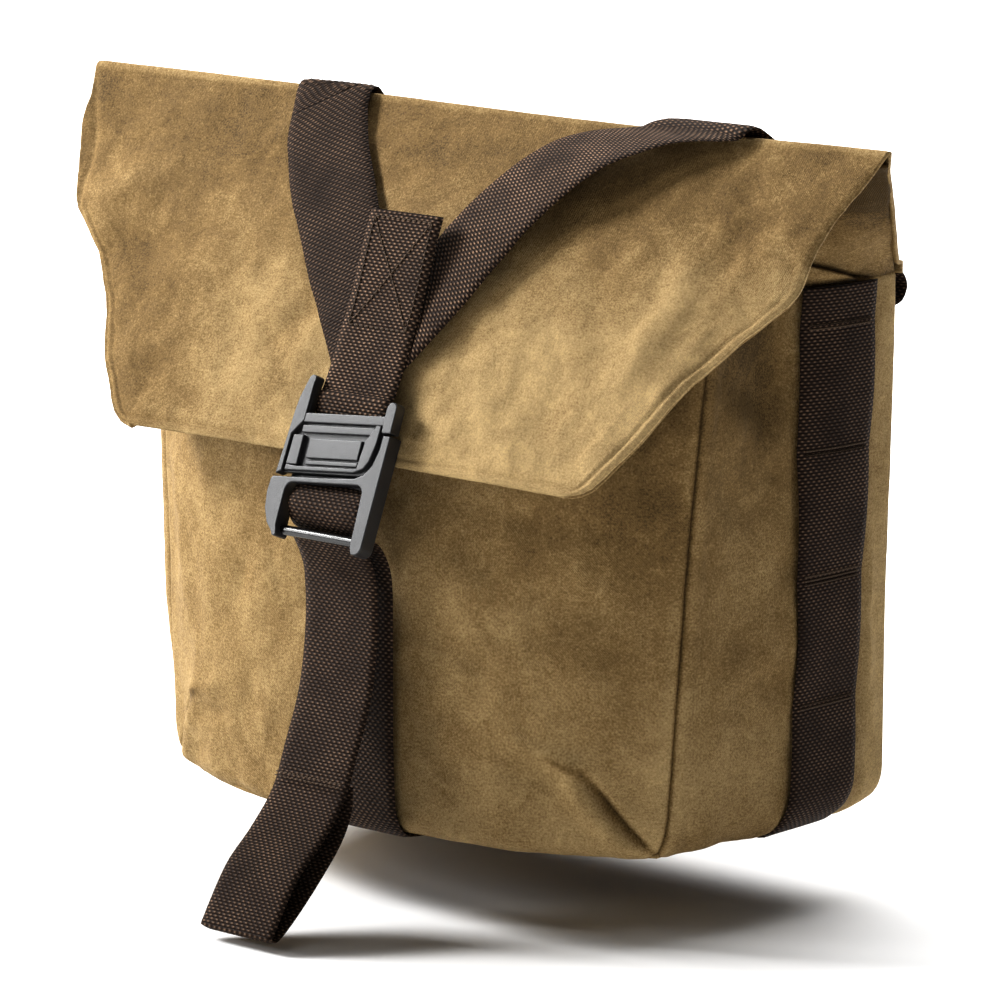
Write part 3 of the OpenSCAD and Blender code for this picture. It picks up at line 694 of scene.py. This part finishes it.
def over(x, s, lift):
    """A place over flap, ridge and yoke: s runs down the flap, and below 0 over to the back."""
    x, s, lift = np.broadcast_arrays(*(np.asarray(v, float) for v in (x, s, lift)))
    n = FOLD_R + flap_lift(x, np.clip(s, 0, None)) + lift
    on = flap_at(x, np.clip(s, 0, None), n)
    r = FOLD_R + lift
    a = -SLOPE + np.clip(-s, 0, ARC) / FOLD_R
    bend = np.stack([x, RIDGE_Y + r * np.sin(a), RIDGE_Z + r * np.cos(a)], axis=-1)
    run = np.clip(-s - ARC, 0, None)
    rear = np.stack([x, RIDGE_Y + run * math.cos(YOKE) + r * math.sin(YOKE),
                     RIDGE_Z - run * math.sin(YOKE) + r * math.cos(YOKE)], axis=-1)
    out = np.where((s < 0)[..., None], bend, on)
    return np.where((s < -ARC)[..., None], rear, out)


def flap_half(s):
    return tab(FLAP_X, s)


def flap_lift(x, s):
    """How far the flap stands off its own plane."""
    half = np.maximum(flap_half(np.clip(s, 0, FLAP_LEN)), 1)
    base = tab(CROWN, np.clip(s / FLAP_LEN, 0, 1)) * np.clip(1 - (x / half) ** 2, 0, 1)
    for a, b, w, h in FLAP_FOLDS:
        base = base + h * bump_line(x, s, a, b, w)
    return base


def ridge_sag(x, s):
    """How far the ridge sinks between the ends of the flap."""
    return 1.6 * bell(s + ARC / 2, 22) * bell(x - 60, 120)


# One sheet from the yoke's rear edge over the ridge to the flap's front edge
TUCK = 4.6  # how far the rear edge reaches down over the bag's rim
S = np.concatenate([np.linspace(REAR - TUCK, REAR + 3, 9, endpoint=False),
                    np.linspace(REAR + 3, -ARC, 32, endpoint=False),
                    np.linspace(-ARC, 0, 12, endpoint=False),
                    np.linspace(0, 140, 84, endpoint=False),
                    np.linspace(140, FLAP_LEN, 16)])[:, None]
tt = np.linspace(-1, 1, 201)[None, :]
tt = np.sign(tt) * (1 - (1 - np.abs(tt)) ** 1.2)
run = np.clip((-S - ARC) / YOKE_RUN, 0, 1)
half = np.where(S >= 0, flap_half(np.clip(S, 0, None)), RIDGE_HALF - (RIDGE_HALF - YOKE_HALF) * run)
X = tt * half - tab(LEFT_OUT, S) * (S > 0) * smooth_step(0.3, 1.0, -tt)
edge = np.minimum((half - np.abs(X)) * 0.8, np.where(S > 0, FLAP_LEN - S, 999))
lift = np.where(S > 0, 0.9 * lumps(X, S, 46, 61) + 0.35 * lumps(X, S, 15, 62),
                0.5 * lumps(X, S, 50, 63))
lift *= np.clip((S + 120) / 20, 0, 1)
# The turned hem: thicker, with a stitched groove, and thin at its fold
lift += 0.35 * np.clip((15 - edge) / 2, 0, 1) * np.clip((S - 56) / 8, 0, 1)
lift -= 0.75 * bell(edge - 3.6, 0.8) * np.clip((S - 56) / 6, 0, 1)
lift -= 0.9 * bell(edge, 1.4)
# The ridge is smooth and sinks a little, and the yoke's side edges turn down
lift *= 1 - 0.85 * bell(S + ARC / 2, 9)
lift -= ridge_sag(X, S) + 2.2 * bell(edge, 3) * smooth_step(-ARC, -ARC - 12, S)
lift *= smooth_step(REAR, REAR + 8, S)
P = over(X, S, 0)
tuck = np.clip(REAR - S, 0, None)
P[..., 1] -= tuck * math.cos(YOKE)
P[..., 2] -= tuck * (1 - math.sin(YOKE))
N = grid_normals(P)
P = P + N * np.sign(N[..., 2].mean()) * lift[..., None]
# Rubbed pale along the edges and the ridge; painted light on the lower and right parts of the flap,
# and painted shade below the ridge and on the left
shade = 0.13 * bell(edge, 2.2) * (S > 0) + 0.035 * lumps(X, S, 60, 65)
shade += 0.05 * bell(edge - 8, 4) * (S > 50) + 0.05 * bell(S + 4, 3)
shade += 0.15 * smooth_step(50, 120, S) * smooth_step(-150, 10, X)
shade += 0.07 * smooth_step(20, 70, S) * smooth_step(20, 90, X)
shade -= 0.21 * bell(S - 22, 34) * (S > 0) + 0.06 * smooth_step(-40, -120, X) * (S > 0)
shade -= 0.13 * smooth_step(-60, -120, X) * smooth_step(60, 90, S)
# Raised folds are rubbed lighter, and the sunk ones get painted shade
for a, b, w, h in FLAP_FOLDS:
    shade += 0.035 * h * bump_line(X, S, a, b, w * 0.7)
o = cloth("flap_canvas", P, CANVAS, (0, -1, 1), thickness=1.5, shift=(-30, 900),
          tones_and_painted_shade=shade)
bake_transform(o)
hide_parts("flap_panel", "flap_fold", "rear_yoke")

# Lining and turned hem on the flap's underside; the lining ends in the hem
HEM_W = 17.0
HEM_EDGE = FLAP_LEN - 1.0
S = np.linspace(4, FLAP_LEN - 14.5, 70)[:, None]
X = np.linspace(-1, 1, 121)[None, :] * (flap_half(S) - 3 - 12 * smooth_step(52, 60, S))
P = over(X, S, -3.5 - ridge_sag(X, S))
o = cloth("flap_lining_cloth", P, LINING, (0, 1, -1), thickness=0.5, shift=(-200, 1400))
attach(o, "flap")
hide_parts("flap_lining")
s = np.concatenate([np.linspace(60, 146, 60), [148.5, HEM_EDGE]])
right = np.stack([flap_half(s) - 1.2, s], axis=-1)
front = [(x, HEM_EDGE) for x in np.linspace(-104, 104, 60)]
outer = np.vstack([right * (-1, 1), front, right[::-1]])
inner = np.minimum(outer, (np.inf, FLAP_LEN - HEM_W))
inner_half = flap_half(inner[:, 1]) - HEM_W
inner[:, 0] = np.clip(inner[:, 0], -inner_half, inner_half)
rows = [outer * (1 - k) + inner * k for k in np.linspace(0, 1, 6)]
P = np.array([over(r[:, 0], r[:, 1], -3.9) for r in rows])
o = cloth("flap_hem_cloth", P, CANVAS, (0, 1, -1), thickness=1.2, shift=(900, 1400))
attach(o, "flap")
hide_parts("flap_hem")

# -------- collar, ears and lining
up = np.linspace(0, 1, 14)[:, None]
p = front_point(np.linspace(-0.97, 0.97, 90)[None, :] + 0 * up, H + 0 * up)
p[..., 1] += 1.0 + 10 * up + 0.6 * lumps(p[..., 0], up * 20, 30, 71)
p[..., 2] += 0.3 + 17 * up
o = cloth("collar_lip", p, CANVAS, (0, -1, 0), shift=(100, 1800))
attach(o, "bag")
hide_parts("collar_front")

# Ears: from the side's rim (v from front to back) up to a line below the ridge's end
for side, word in ((-1, "left"), (1, "right")):
    up, v = np.broadcast_arrays(np.linspace(0, 1, 70)[:, None], np.linspace(0, 1, 80)[None, :])
    rim = side_point(side, v, H + 0 * v)
    rim[..., 0] += side * (side_drape(side, rim[..., 1], H) - 0.6)
    rim[..., 1] -= 1.6 * v
    rim[..., 2] -= 1.5
    tip = np.stack([side * (160 + 46.5 * v ** 1.5), -94 + 9.5 * v, 265 + 8 * v], axis=-1)
    k = up[..., None]
    g = rim * (1 - k) + tip * k
    back_lift = smooth_step(0.82, 1, v) * (1 - 0.5 * smooth_step(0.9, 1, up))
    g[..., 2] += 3.0 * back_lift * smooth_step(0, 0.08, up)
    hem = smooth_step(0, 0.12, 1 - up)
    sink = 15 * 4 * up * (1 - up) * (4 * v * (1 - v)) ** 0.9
    sink += 30 * smooth_step(0.3, 0.95, up) * smooth_step(0, 0.35, 1 - v)
    # The front half lies over the back half along a slanted, curved seam
    line = v - (0.83 - 1.15 * up - 0.4 * up ** 2)
    overlap = smooth_step(0, 0.035, -line) * np.exp(-np.clip(-line, 0, None) / 0.3)
    sink += 3.2 * bell(line, 0.022) * hem - 4.5 * overlap * smooth_step(0, 0.08, up) * hem
    sink -= 1.1 * lumps(g[..., 1], g[..., 2], 24, 81) * smooth_step(0, 0.1, up) * hem
    g[..., 0] -= side * sink
    # Painted shade over the whole ear, a painted shadow under the front half's edge along the seam
    # and along the rim, and painted shade growing towards the hollow below the ridge's end
    shade = -0.13 - 0.6 * bell(line, 0.02) - 0.4 * bell(up, 0.02)
    shade -= 0.5 * smooth_step(0.25, 0.75, up)
    o = cloth("collar_ear_" + word, g, CANVAS, (side, 0, 0.3), shift=(300 * side, 2100),
              tones_and_painted_shade=shade)
    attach(o, "bag")
    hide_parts("collar_gusset_" + word)

# Lining tub: rings from its bottom up to the rim, closed by a fan below
rings = []
t, v = np.linspace(-1, 1, 61), np.linspace(0, 1, 25)
for z in np.concatenate([[LINER_GAP], np.linspace(8, H - 0.5, 50)]):
    front = front_point(t, z)
    front[:, 0] = t * (smooth_tab(FRONT_X, z / H) - LINER_GAP)
    front[:, 1] += LINER_GAP
    right = side_point(1, v, z)
    right[:, 0] += np.minimum(side_drape(1, right[:, 1], z), 0) - LINER_GAP - 1.0
    right[:, 1] = (seam_y(z) + LINER_GAP) * (1 - v) - LINER_GAP * v
    left = right[::-1] * (-1, 1, 1)
    back = np.linspace(right[-1], left[0], 40)
    rings.append(np.vstack([front, right[1:], back[1:-1], left[:-1]]))
rings = np.array(rings)
rows, k = rings.shape[:2]
around = np.arange(k) * 2.5
slack = 0.9 + 0.5 * lumps(around[None, :], rings[1:-1, :, 2], 40, 91)
rings[1:-1, :, :2] -= unit(rings[1:-1, :, :2]) * slack[..., None]
verts = np.vstack([rings.reshape(-1, 3), [[0, -70, LINER_GAP]]])
faces = ring_faces(rows, k) + [[(j + 1) % k, j, rows * k] for j in range(k)]
uv = np.stack([np.tile(around, rows), np.repeat(rings[:, 0, 2], k)], axis=-1)
uv = np.vstack([uv, [[0, 0]]])
o = build("lining_tub", verts, faces, LINING, uv, np.zeros(len(verts)))
o.modifiers.new("cloth", "SOLIDIFY").thickness = 0.0008
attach(o, "bag")
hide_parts("liner")

# -------- straps over the flap


def over_loft(pairs, s_cut):
    """A strap over the flap between two edges; each pair is s, x and height for both edges.

    It is cut in three where its middle passes the two places in s_cut.
    """
    step = 1.3
    pairs = np.asarray(pairs, float)
    a, b = spline(pairs[:, :3], 400), spline(pairs[:, 3:], 400)
    count = int(lengths((a + b) / 2)[-1] / step)
    a, b = resample(a, count), resample(b, count)
    middle_s = (a[:, 0] + b[:, 0]) / 2
    q = np.linspace(0, 1, WEB_COLS)[None, :]
    s, x, height = (a[:, k:k + 1] * (1 - q) + b[:, k:k + 1] * q for k in range(3))
    P = over(x, np.maximum(s, REAR + 1), height + 0.45 + WEB_T / 2)
    i, j = (int(np.argmax(middle_s > c)) for c in s_cut)
    return [P[:i + 1], P[i:j + 1], P[j:]]


def straight_pairs(route):
    """Edges of a flat strap whose middle runs through (s, x, height) places."""
    line = spline(route, 200)
    way = unit(np.gradient(line[:, :2], axis=0)) * WEB_W / 2
    a = np.stack([line[:, 0] + way[:, 1], line[:, 1] - way[:, 0], line[:, 2]], axis=-1)
    b = np.stack([line[:, 0] - way[:, 1], line[:, 1] + way[:, 0], line[:, 2]], axis=-1)
    return np.hstack([a, b])[::8]


R = -ARC  # s where the yoke meets the ridge
LEFT = straight_pairs([(R - 99, -124, 0), (R - 60, -101, 0), (R - 20, -77, 0.2), (R, -72, 0.6),
                       (0, -69.5, 1.0), (10, -67.5, 1.0), (18, -63.5, 0.9), (34, -53.5, 0.8),
                       (52, -39.5, 0.7), (76, -22, 0.6), (93, -8, 0.5), (113, 7, 0.4)])
# The right strap stands up on its right edge as it turns over the ridge
RIGHT = [(R - 99, 102, 0, R - 99, 140, 0), (R - 70, 104, 0, R - 70, 142, 0),
         (R - 40, 107, 0, R - 40, 145, 0.3), (R - 15, 108, 0.4, R - 12, 146, 1),
         (-9, 105, 0.6, 0, 142, 2), (-4, 98, 0.6, 4, 135, 4.5),
         (0, 91, 0.6, 6, 127, 7), (1.8, 82, 0.6, 9.5, 117, 10), (3.4, 73, 0.6, 15, 107.5, 12),
         (6.4, 62, 0.6, 22.5, 95, 13), (11.4, 51.5, 0.6, 30, 85.5, 12), (21, 41, 0.7, 40, 75, 9.5),
         (33, 32, 0.8, 50, 67, 7.5), (43.5, 26, 1, 62, 59, 6), (53.4, 21.3, 1, 73, 51.5, 4.8),
         (66, 15, 1, 86.5, 43, 3.6), (82, 6, 1, 104, 31, 2.6), (98, -4, 1, 119, 20, 1.8)]

# The right strap uses the lit copy of the webbing, with stronger painted highlights
for word, pairs, mat in (("left", LEFT, WEB), ("right", RIGHT, LIT_WEB)):
    at = 0
    for part, P in zip(("rear", "ridge", "front"), over_loft(pairs, (R - 10, 3))):
        o = webbing("%s_strap_%s_web" % (part, word), P, mat, shift=(0, at))
        at += lengths(P[:, WEB_COLS // 2])[-1]
        if part == "rear":
            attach(o, "bag")
            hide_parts("rear_strap_" + word)
        elif part == "ridge":
            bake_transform(o)
        else:
            a, b = over(0, 3, 6), over(0, 34, 6)
            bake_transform(o)
            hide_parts("y_strap_" + word)

# -------- buckle
BUCKLE_Y, BUCKLE_Z = -154.1, 177.2  # its top edge, on the side of the bag
BUCKLE_SLOPE = math.radians(67.5)
ASKEW = 0.085  # its lines run a little askew of the strap


def on_buckle(x, l, m):
    """A place on the buckle: x from the strap's middle, l down it, m out of its plane."""
    x, l, m = np.broadcast_arrays(*(np.asarray(v, float) for v in (x, l, m)))
    cos, sin = math.cos(BUCKLE_SLOPE), math.sin(BUCKLE_SLOPE)
    return np.stack([HX + x, BUCKLE_Y - l * cos - m * sin, BUCKLE_Z - l * sin + m * cos], axis=-1)


def plates(name, parts, mat, bevel):
    """Flat shapes drawn in (x, l) between heights m0 and m1, rounded at their edges."""
    verts, faces = [], []
    for shape, m0, m1 in parts:
        k = len(shape)
        top = list(range(len(verts), len(verts) + k))
        low = [i + k for i in top]
        verts += [on_buckle(a, b, m) for m in (m1, m0) for a, b in shape]
        faces += [top, low[::-1]]
        faces += [(top[i], low[i], low[(i + 1) % k], top[(i + 1) % k]) for i in range(k)]
    o = build(name, verts, faces, mat)
    fix_normals(o)
    mod = o.modifiers.new("edge", "BEVEL")
    mod.width = bevel / 1000
    mod.segments = 3
    mod.limit_method = "ANGLE"
    mod.angle_limit = math.radians(35)
    mod.use_clamp_overlap = True
    mod = o.modifiers.new("shade", "WEIGHTED_NORMAL")
    mod.keep_sharp = False
    return o


def arc(cx, cl, r, a0, a1, n):
    return [(cx + r * math.cos(math.radians(a)), cl + r * math.sin(math.radians(a)))
            for a in np.linspace(a0, a1, n)]


def rect(x0, x1, l0, l1):
    return [(x0, l0), (x1, l0), (x1, l1), (x0, l1)]


def skewed(shape):
    return [(x, l - ASKEW * x) for x, l in shape]


# Upper half: a slab with two arms, two cross bars and a framed pad
left_arm = arc(-20.9, 1.8, 2.0, 190, 330, 7) + [
    (-19.6, 4.0), (-19.8, 18.0), (-22.3, 21.0), (-24.6, 24.0), (-24.8, 39.0), (-27.6, 40.6),
    (-26.8, 29.0), (-26.0, 15.0), (-25.2, 9.0)]
left_rib = [(-21.6, 11.0), (-19.6, 5.0), (-19.4, 17.6), (-21.4, 20.0)]
right_arm = [(20.4, 8.6)] + arc(23.0, 8.2, 2.4, 200, 350, 7) + [
    (25.5, 18.0), (20.9, 18.4), (20.4, 14)]
slab = [(-26.0, 16.5), (20.4, 12.4), (20.4, 30.0), (18.6, 34.2), (14.0, 36.2), (-25.6, 39.4)]
frame_left = skewed([(-23.6, 22.2), (-18.4, 22.2), (-18.2, 34.2), (-23.9, 34.2)])
frame_low = [(-23.9, 38.6), (-23.9, 36.2)] + skewed([(-18.2, 34.8), (12.4, 34.8), (13.4, 24.0)]) \
    + [(17.2, 15.6), (19.6, 15.6), (19.4, 23.0), (18.0, 30.0), (15.8, 33.4), (11.4, 35.4)]
upper = plates("buckle_upper_shell", [
    (slab, 2.7, 5.55),
    (left_arm, 2.7, 7.9),
    (left_rib, 2.7, 6.8),
    (right_arm, 2.7, 8.0),
    (skewed(rect(-20.2, 20.8, 13.4, 17.2)), 2.9, 7.7),
    (skewed(rect(-20.2, 16.4, 18.2, 21.2)), 2.9, 7.3),
    (frame_left, 5.0, 7.5),
    (frame_low, 5.0, 7.5),
    (skewed(rect(-14.9, 11.8, 23.6, 31.4)), 5.0, 7.3),
    (skewed(rect(-14.9, 11.8, 32.2, 34.0)), 5.0, 6.6),
], PLASTIC, bevel=0.4)
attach(upper, "harness")
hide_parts("buckle_upper")

# Lower half: a window for the strap, a hooked left arm, a finger reaching up on the right
window = arc(15.0, 43.4, 3.4, 360, 270, 6) + arc(-17.4, 46.2, 3.4, 270, 180, 6)
top_edge = [(-29.6, 42.6), (-28.6, 41.6), (-8.0, 39.9), (12.6, 37.6), (17.0, 35.6), (20.0, 31.6)]
finger = [(21.6, 25.0), (21.7, 19.2), (25.5, 19.0), (25.5, 60.5)]
hook = [(-20.8, 56.0), (-20.6, 60.4), (-20.0, 62.0)] + arc(-21.0, 63.4, 1.5, 20, 110, 5) + [
    (-22.6, 63.2), (-26.0, 60.0), (-28.8, 54.5), (-29.9, 48.0)]
lower_shape = (top_edge + finger + arc(21.9, 63.4, 3.6, 0, 110, 8) + [(19.4, 64.0)]
               + window + hook)
lower = plates("buckle_lower_shell", [
    (lower_shape, 0.3, 7.5),
    (rect(-24.4, 20.4, 31.2, 42.4), 0.1, 2.0),
], PLASTIC, bevel=0.5)
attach(lower, "buckle")
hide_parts("buckle_lower")

# CAD nodes that keep their shape
for node, mat in (("magnet_upper", METAL), ("magnet_lower", METAL), ("ladder_bar", METAL),
                  ("back_stiffener", BOARD), ("base_stiffener", BOARD)):
    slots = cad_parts[node].data.materials
    slots.clear()
    slots.append(mat)


# -------- tab, front strap and tail
def yz(l, m):
    """(y, z) of a place on the buckle, in the strap's middle."""
    return tuple(on_buckle(0, l, m)[1:])


def lane(s, lift):
    """(y, z) of a place over the flap, in the strap's middle."""
    return tuple(over(HX, s, lift)[1:])


tab_line = [lane(53, 10.2), lane(62, 9.2), lane(74, 7.4), lane(88, 5.4), lane(104, 4.4),
            lane(116, 4.2), lane(126, 4.6), yz(6.0, 4.7), yz(10.5, 4.4), yz(13.6, 3.6),
            yz(15.4, 2.4)]
# The tab uses the lit copy of the webbing, with stronger painted highlights
o = ribbon("tab_web", tab_line, LIT_WEB, n=90, width=WEB_W - 0.5, thickness=1.9, shift=(11, 5))
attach(o, "harness")
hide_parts("y_tab")
line = spline(tab_line, 200)
down = lengths(line)


def on_tab(x, d):
    """A place on the tab's face, x from its middle and d down from its top edge."""
    def middle(at):
        return np.stack([np.interp(at, down, line[:, 0]), np.interp(at, down, line[:, 1])], axis=-1)

    way = unit(middle(d + 1) - middle(d - 1))
    y, z = (middle(d) + 1.15 * way[..., ::-1] * (1, -1)).T
    return np.stack([HX + x, y, z], axis=-1)


# A box with a cross, between x and d corners
corners = [(-15, 3), (15, 3), (15, 47), (-15, 47)]
runs = [(corners[i], corners[j]) for i, j in ((0, 1), (1, 2), (2, 3), (3, 0), (0, 2), (1, 3))]
k = np.linspace(0, 1, 24)
lines = [on_tab(a[0] + (b[0] - a[0]) * k, a[1] + (b[1] - a[1]) * k) for a, b in runs]
o = stitches("tab_thread", lines, pitch=2.6, length=2.1, radius=0.32, body="harness")
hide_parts("tab_stitching")

# Front strap: an arch in the buckle's window, then down behind the tail and under the base
front_line = [yz(40.8, 0.9), yz(43.6, 3.6), yz(49.5, 5.6), yz(54.6, 3.6), yz(57.6, -0.2),
              yz(58.6, -4.0), (-167, 117.5), (-162, 109), (-160.3, 99), (-160.2, 80),
              (-160.2, 40), (-159.6, 20), (-158.4, 9), (-155, 2.2), (-150.5, -1.1)]
o = ribbon("front_strap_web", front_line, WEB, n=150, shift=(3, 40))
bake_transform(o)
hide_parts("front_strap")

# Tail: over the ladder bar, down in front and back behind itself
tail_line = [yz(60.2, 0.2), yz(61.6, -0.6), (-175, 117), (-171.4, 110), (-169.4, 102),
             (-169.2, 82), (-173, 58), (-181.6, 36), (-188.6, 20), (-201, 6.5), (-215.5, -6),
             (-228.5, -24.5), (-229.2, -27.2), (-226.0, -27.6), (-216, -20.5),
             (-202.5, -8.5), (-190.5, 4), (-184.5, 15), (-183.6, 25)]
o = ribbon("tail_web", tail_line, WEB, n=230, shift=(7, 21))
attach(o, "tail")
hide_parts("tail_strap")
rows = [[(HX + k, -189.25 + 0.715 * i, 25.5 + 1.43 * i) for k in np.linspace(-17.5, 17.5, 20)]
        for i in (0, 1)]
o = stitches("tail_thread", rows, pitch=2.1, length=1.8, radius=0.3, body="tail")
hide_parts("tail_stitching")

# -------- webbing on the bag
zs = np.concatenate([np.linspace(H - 1.5, 6, 130), np.linspace(5.6, -1.2, 10)])
for side, word in ((-1, "left"), (1, "right")):
    # Side webbing: it stands out between the bar tacks and rolls in with the lower edge
    z = np.maximum(zs, 0.0)[:, None]
    y = SIDE_WEB_Y - 5.5 * np.sin(math.pi / 2 * (1 - z / H)) ** 2 + across()
    P = side_point(side, 1 - y / seam_y(z), z)
    bulge = 0.9 + 1.1 * np.abs(np.sin(math.pi * (H - TACK_DROP - z) / TACK_PITCH))
    roll = EDGE_R - np.sqrt(EDGE_R ** 2 - (EDGE_R - np.minimum(z, EDGE_R)) ** 2)
    P[..., 0] += side * (bulge + WEB_T / 2 - roll + side_drape(side, y, z))
    P[..., 1] = y
    P[..., 2] = zs[:, None]
    o = webbing("side_web_" + word, P, WEB, shift=(50 * side, 13))
    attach(o, "bag")
    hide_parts("side_webbing_" + word)
    rows = []
    for tack in H - TACK_DROP - TACK_PITCH * np.arange(4):
        for dz in (-1.1, 0.0, 1.1):
            row = np.argmin(np.abs(zs - (tack + dz)))
            rows.append(P[row, 1:-1] + (side * (WEB_T / 2 + 0.1), 0, 0))
    o = stitches("side_bartack_" + word, rows, pitch=1.5, length=1.6, radius=0.42)
    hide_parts("side_bartacks_" + word)

    # Mounting loop behind the upper back corner
    lower_half = [(0.9, -6.6), (4, -6.9), (9.5, -6.7), (13.6, -4.8)]
    loop = lower_half + [(15.9, 0)] + [(y, -z) for y, z in lower_half[::-1]]
    o = ribbon("mount_loop_%s_web" % word, [(y, H - 9.5 + z) for y, z in loop], WEB, n=70,
               x=side * (BACK_X[-1][1] - 3 - LOOP_W / 2), width=LOOP_W, shift=(9, 60 * side))
    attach(o, "bag")
    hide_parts("mount_loop_" + word)

# Under the base: the side webbing across it, and the harness's two legs to the back
x, y = np.linspace(-125, 125, 90)[:, None], (SIDE_WEB_Y + across())[None, :]
P = np.stack(np.broadcast_arrays(x, y, -2.7 - 0.25 * lumps(x, y, 30, 95)), axis=-1)
o = webbing("belly_web", P, WEB, shift=(31, 7))
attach(o, "bag")
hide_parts("belly_webbing")
for side, word in ((-1, "left"), (1, "right")):
    # Each leg keeps to its own side of the front strap, and the right one lies a hair lower
    k = np.linspace(0, 1, 110)[:, None]
    x = HX * (1 - k) + side * 92 * k + across()
    x = side * np.maximum(side * x, side * HX + 0.2)
    z = -1.05 if side < 0 else -1.07
    P = np.stack(np.broadcast_arrays(x, -150.5 + 144.5 * k, z), axis=-1)
    o = webbing("base_leg_" + word, P, WEB, thickness=1.4, shift=(17 * side, 3))
    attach(o, "bag")
    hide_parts("bottom_strap_" + word)

# -------- floor, lights, camera
FLOOR_Y = 6.0  # the floor reaches far behind the bag


def floor_material():
    """Pale floor that begins to glow 0.9 m from the bag, so that its far part stays white."""
    t = Tree("pale_floor")
    grain = t.noise(t.object_mm(), 0.004, 2, 0.5)
    from_bag = t.node("ShaderNodeVectorMath", {0: t.object_mm(), 1: (0, FLOOR_Y * 1000, 0)},
                      operation="ADD")
    away = t.node("ShaderNodeVectorMath", {0: from_bag}, out=1, operation="LENGTH")
    share = t.m("MAXIMUM", t.m("MULTIPLY_ADD", away, 1 / 1800, -0.5), 0.0)
    glow = t.m("MULTIPLY", t.m("MINIMUM", share, 1.0), 0.8)
    pale = t.mix(grain, (0.9, 0.9, 0.9, 1), (0.93, 0.93, 0.93, 1))
    return t.finish(Base_Color=pale, Roughness=0.9, Emission_Color=(1, 1, 1, 1),
                    Emission_Strength=glow)


bpy.ops.mesh.primitive_plane_add(size=30, location=(0, FLOOR_Y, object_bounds()[0][2] - 0.004))
floor = bpy.context.object
floor.name = "floor"
floor.data.materials.append(floor_material())

scene = bpy.context.scene
world = scene.world or bpy.data.worlds.new("world")
scene.world = world
world.use_nodes = True
background = world.node_tree.nodes["Background"]
background.inputs["Color"].default_value = (1, 1, 1, 1)
background.inputs["Strength"].default_value = 0.13


def soft_light(name, place, target, size, power):
    data = bpy.data.lights.new(name, "AREA")
    data.shape = "RECTANGLE"
    data.size, data.size_y = size
    data.energy = power
    o = bpy.data.objects.new(name, data)
    o.location = place
    o.rotation_euler = (Vector(target) - Vector(place)).to_track_quat("-Z", "Y").to_euler()
    scene.collection.objects.link(o)


scene.view_settings.view_transform = "Standard"
scene.view_settings.gamma = 0.8
BAG = (0, -0.1, 0.02)
soft_light("key", (-2.1, -0.9, 1.45), BAG, size=(0.8, 0.8), power=128)
soft_light("fill", (-1.5, -1.6, 0.75), BAG, size=(0.5, 0.5), power=14)
soft_light("top", (-0.5, 1.6, 2.3), (-0.8, 1.1, 0.0), size=(2.6, 2.2), power=140)

# Long lens from the front right: 42 degrees round and 14 degrees up, turned a little off that
# direction by two small angles, given as their tangents
AZIMUTH, ELEVATION = math.radians(42), math.radians(14)
AIM_RIGHT, AIM_UP = 0.014651, 0.047532
camera = bpy.data.cameras.new("camera")
camera.lens = 216
camera.sensor_width = 36
camera.clip_end = 100
cam = bpy.data.objects.new("camera", camera)
level = Vector((-math.sin(AZIMUTH), math.cos(AZIMUTH), 0))
right = Vector((math.cos(AZIMUTH), math.sin(AZIMUTH), 0))
above = Vector((0, 0, 1))
forward = level * math.cos(ELEVATION) - above * math.sin(ELEVATION)
up = level * math.sin(ELEVATION) + above * math.cos(ELEVATION)
aim = forward + right * AIM_RIGHT + up * AIM_UP
cam.location = (1.5576, -1.8508, 0.4804)
cam.rotation_euler = aim.to_track_quat("-Z", "Y").to_euler()
scene.collection.objects.link(cam)
scene.camera = cam
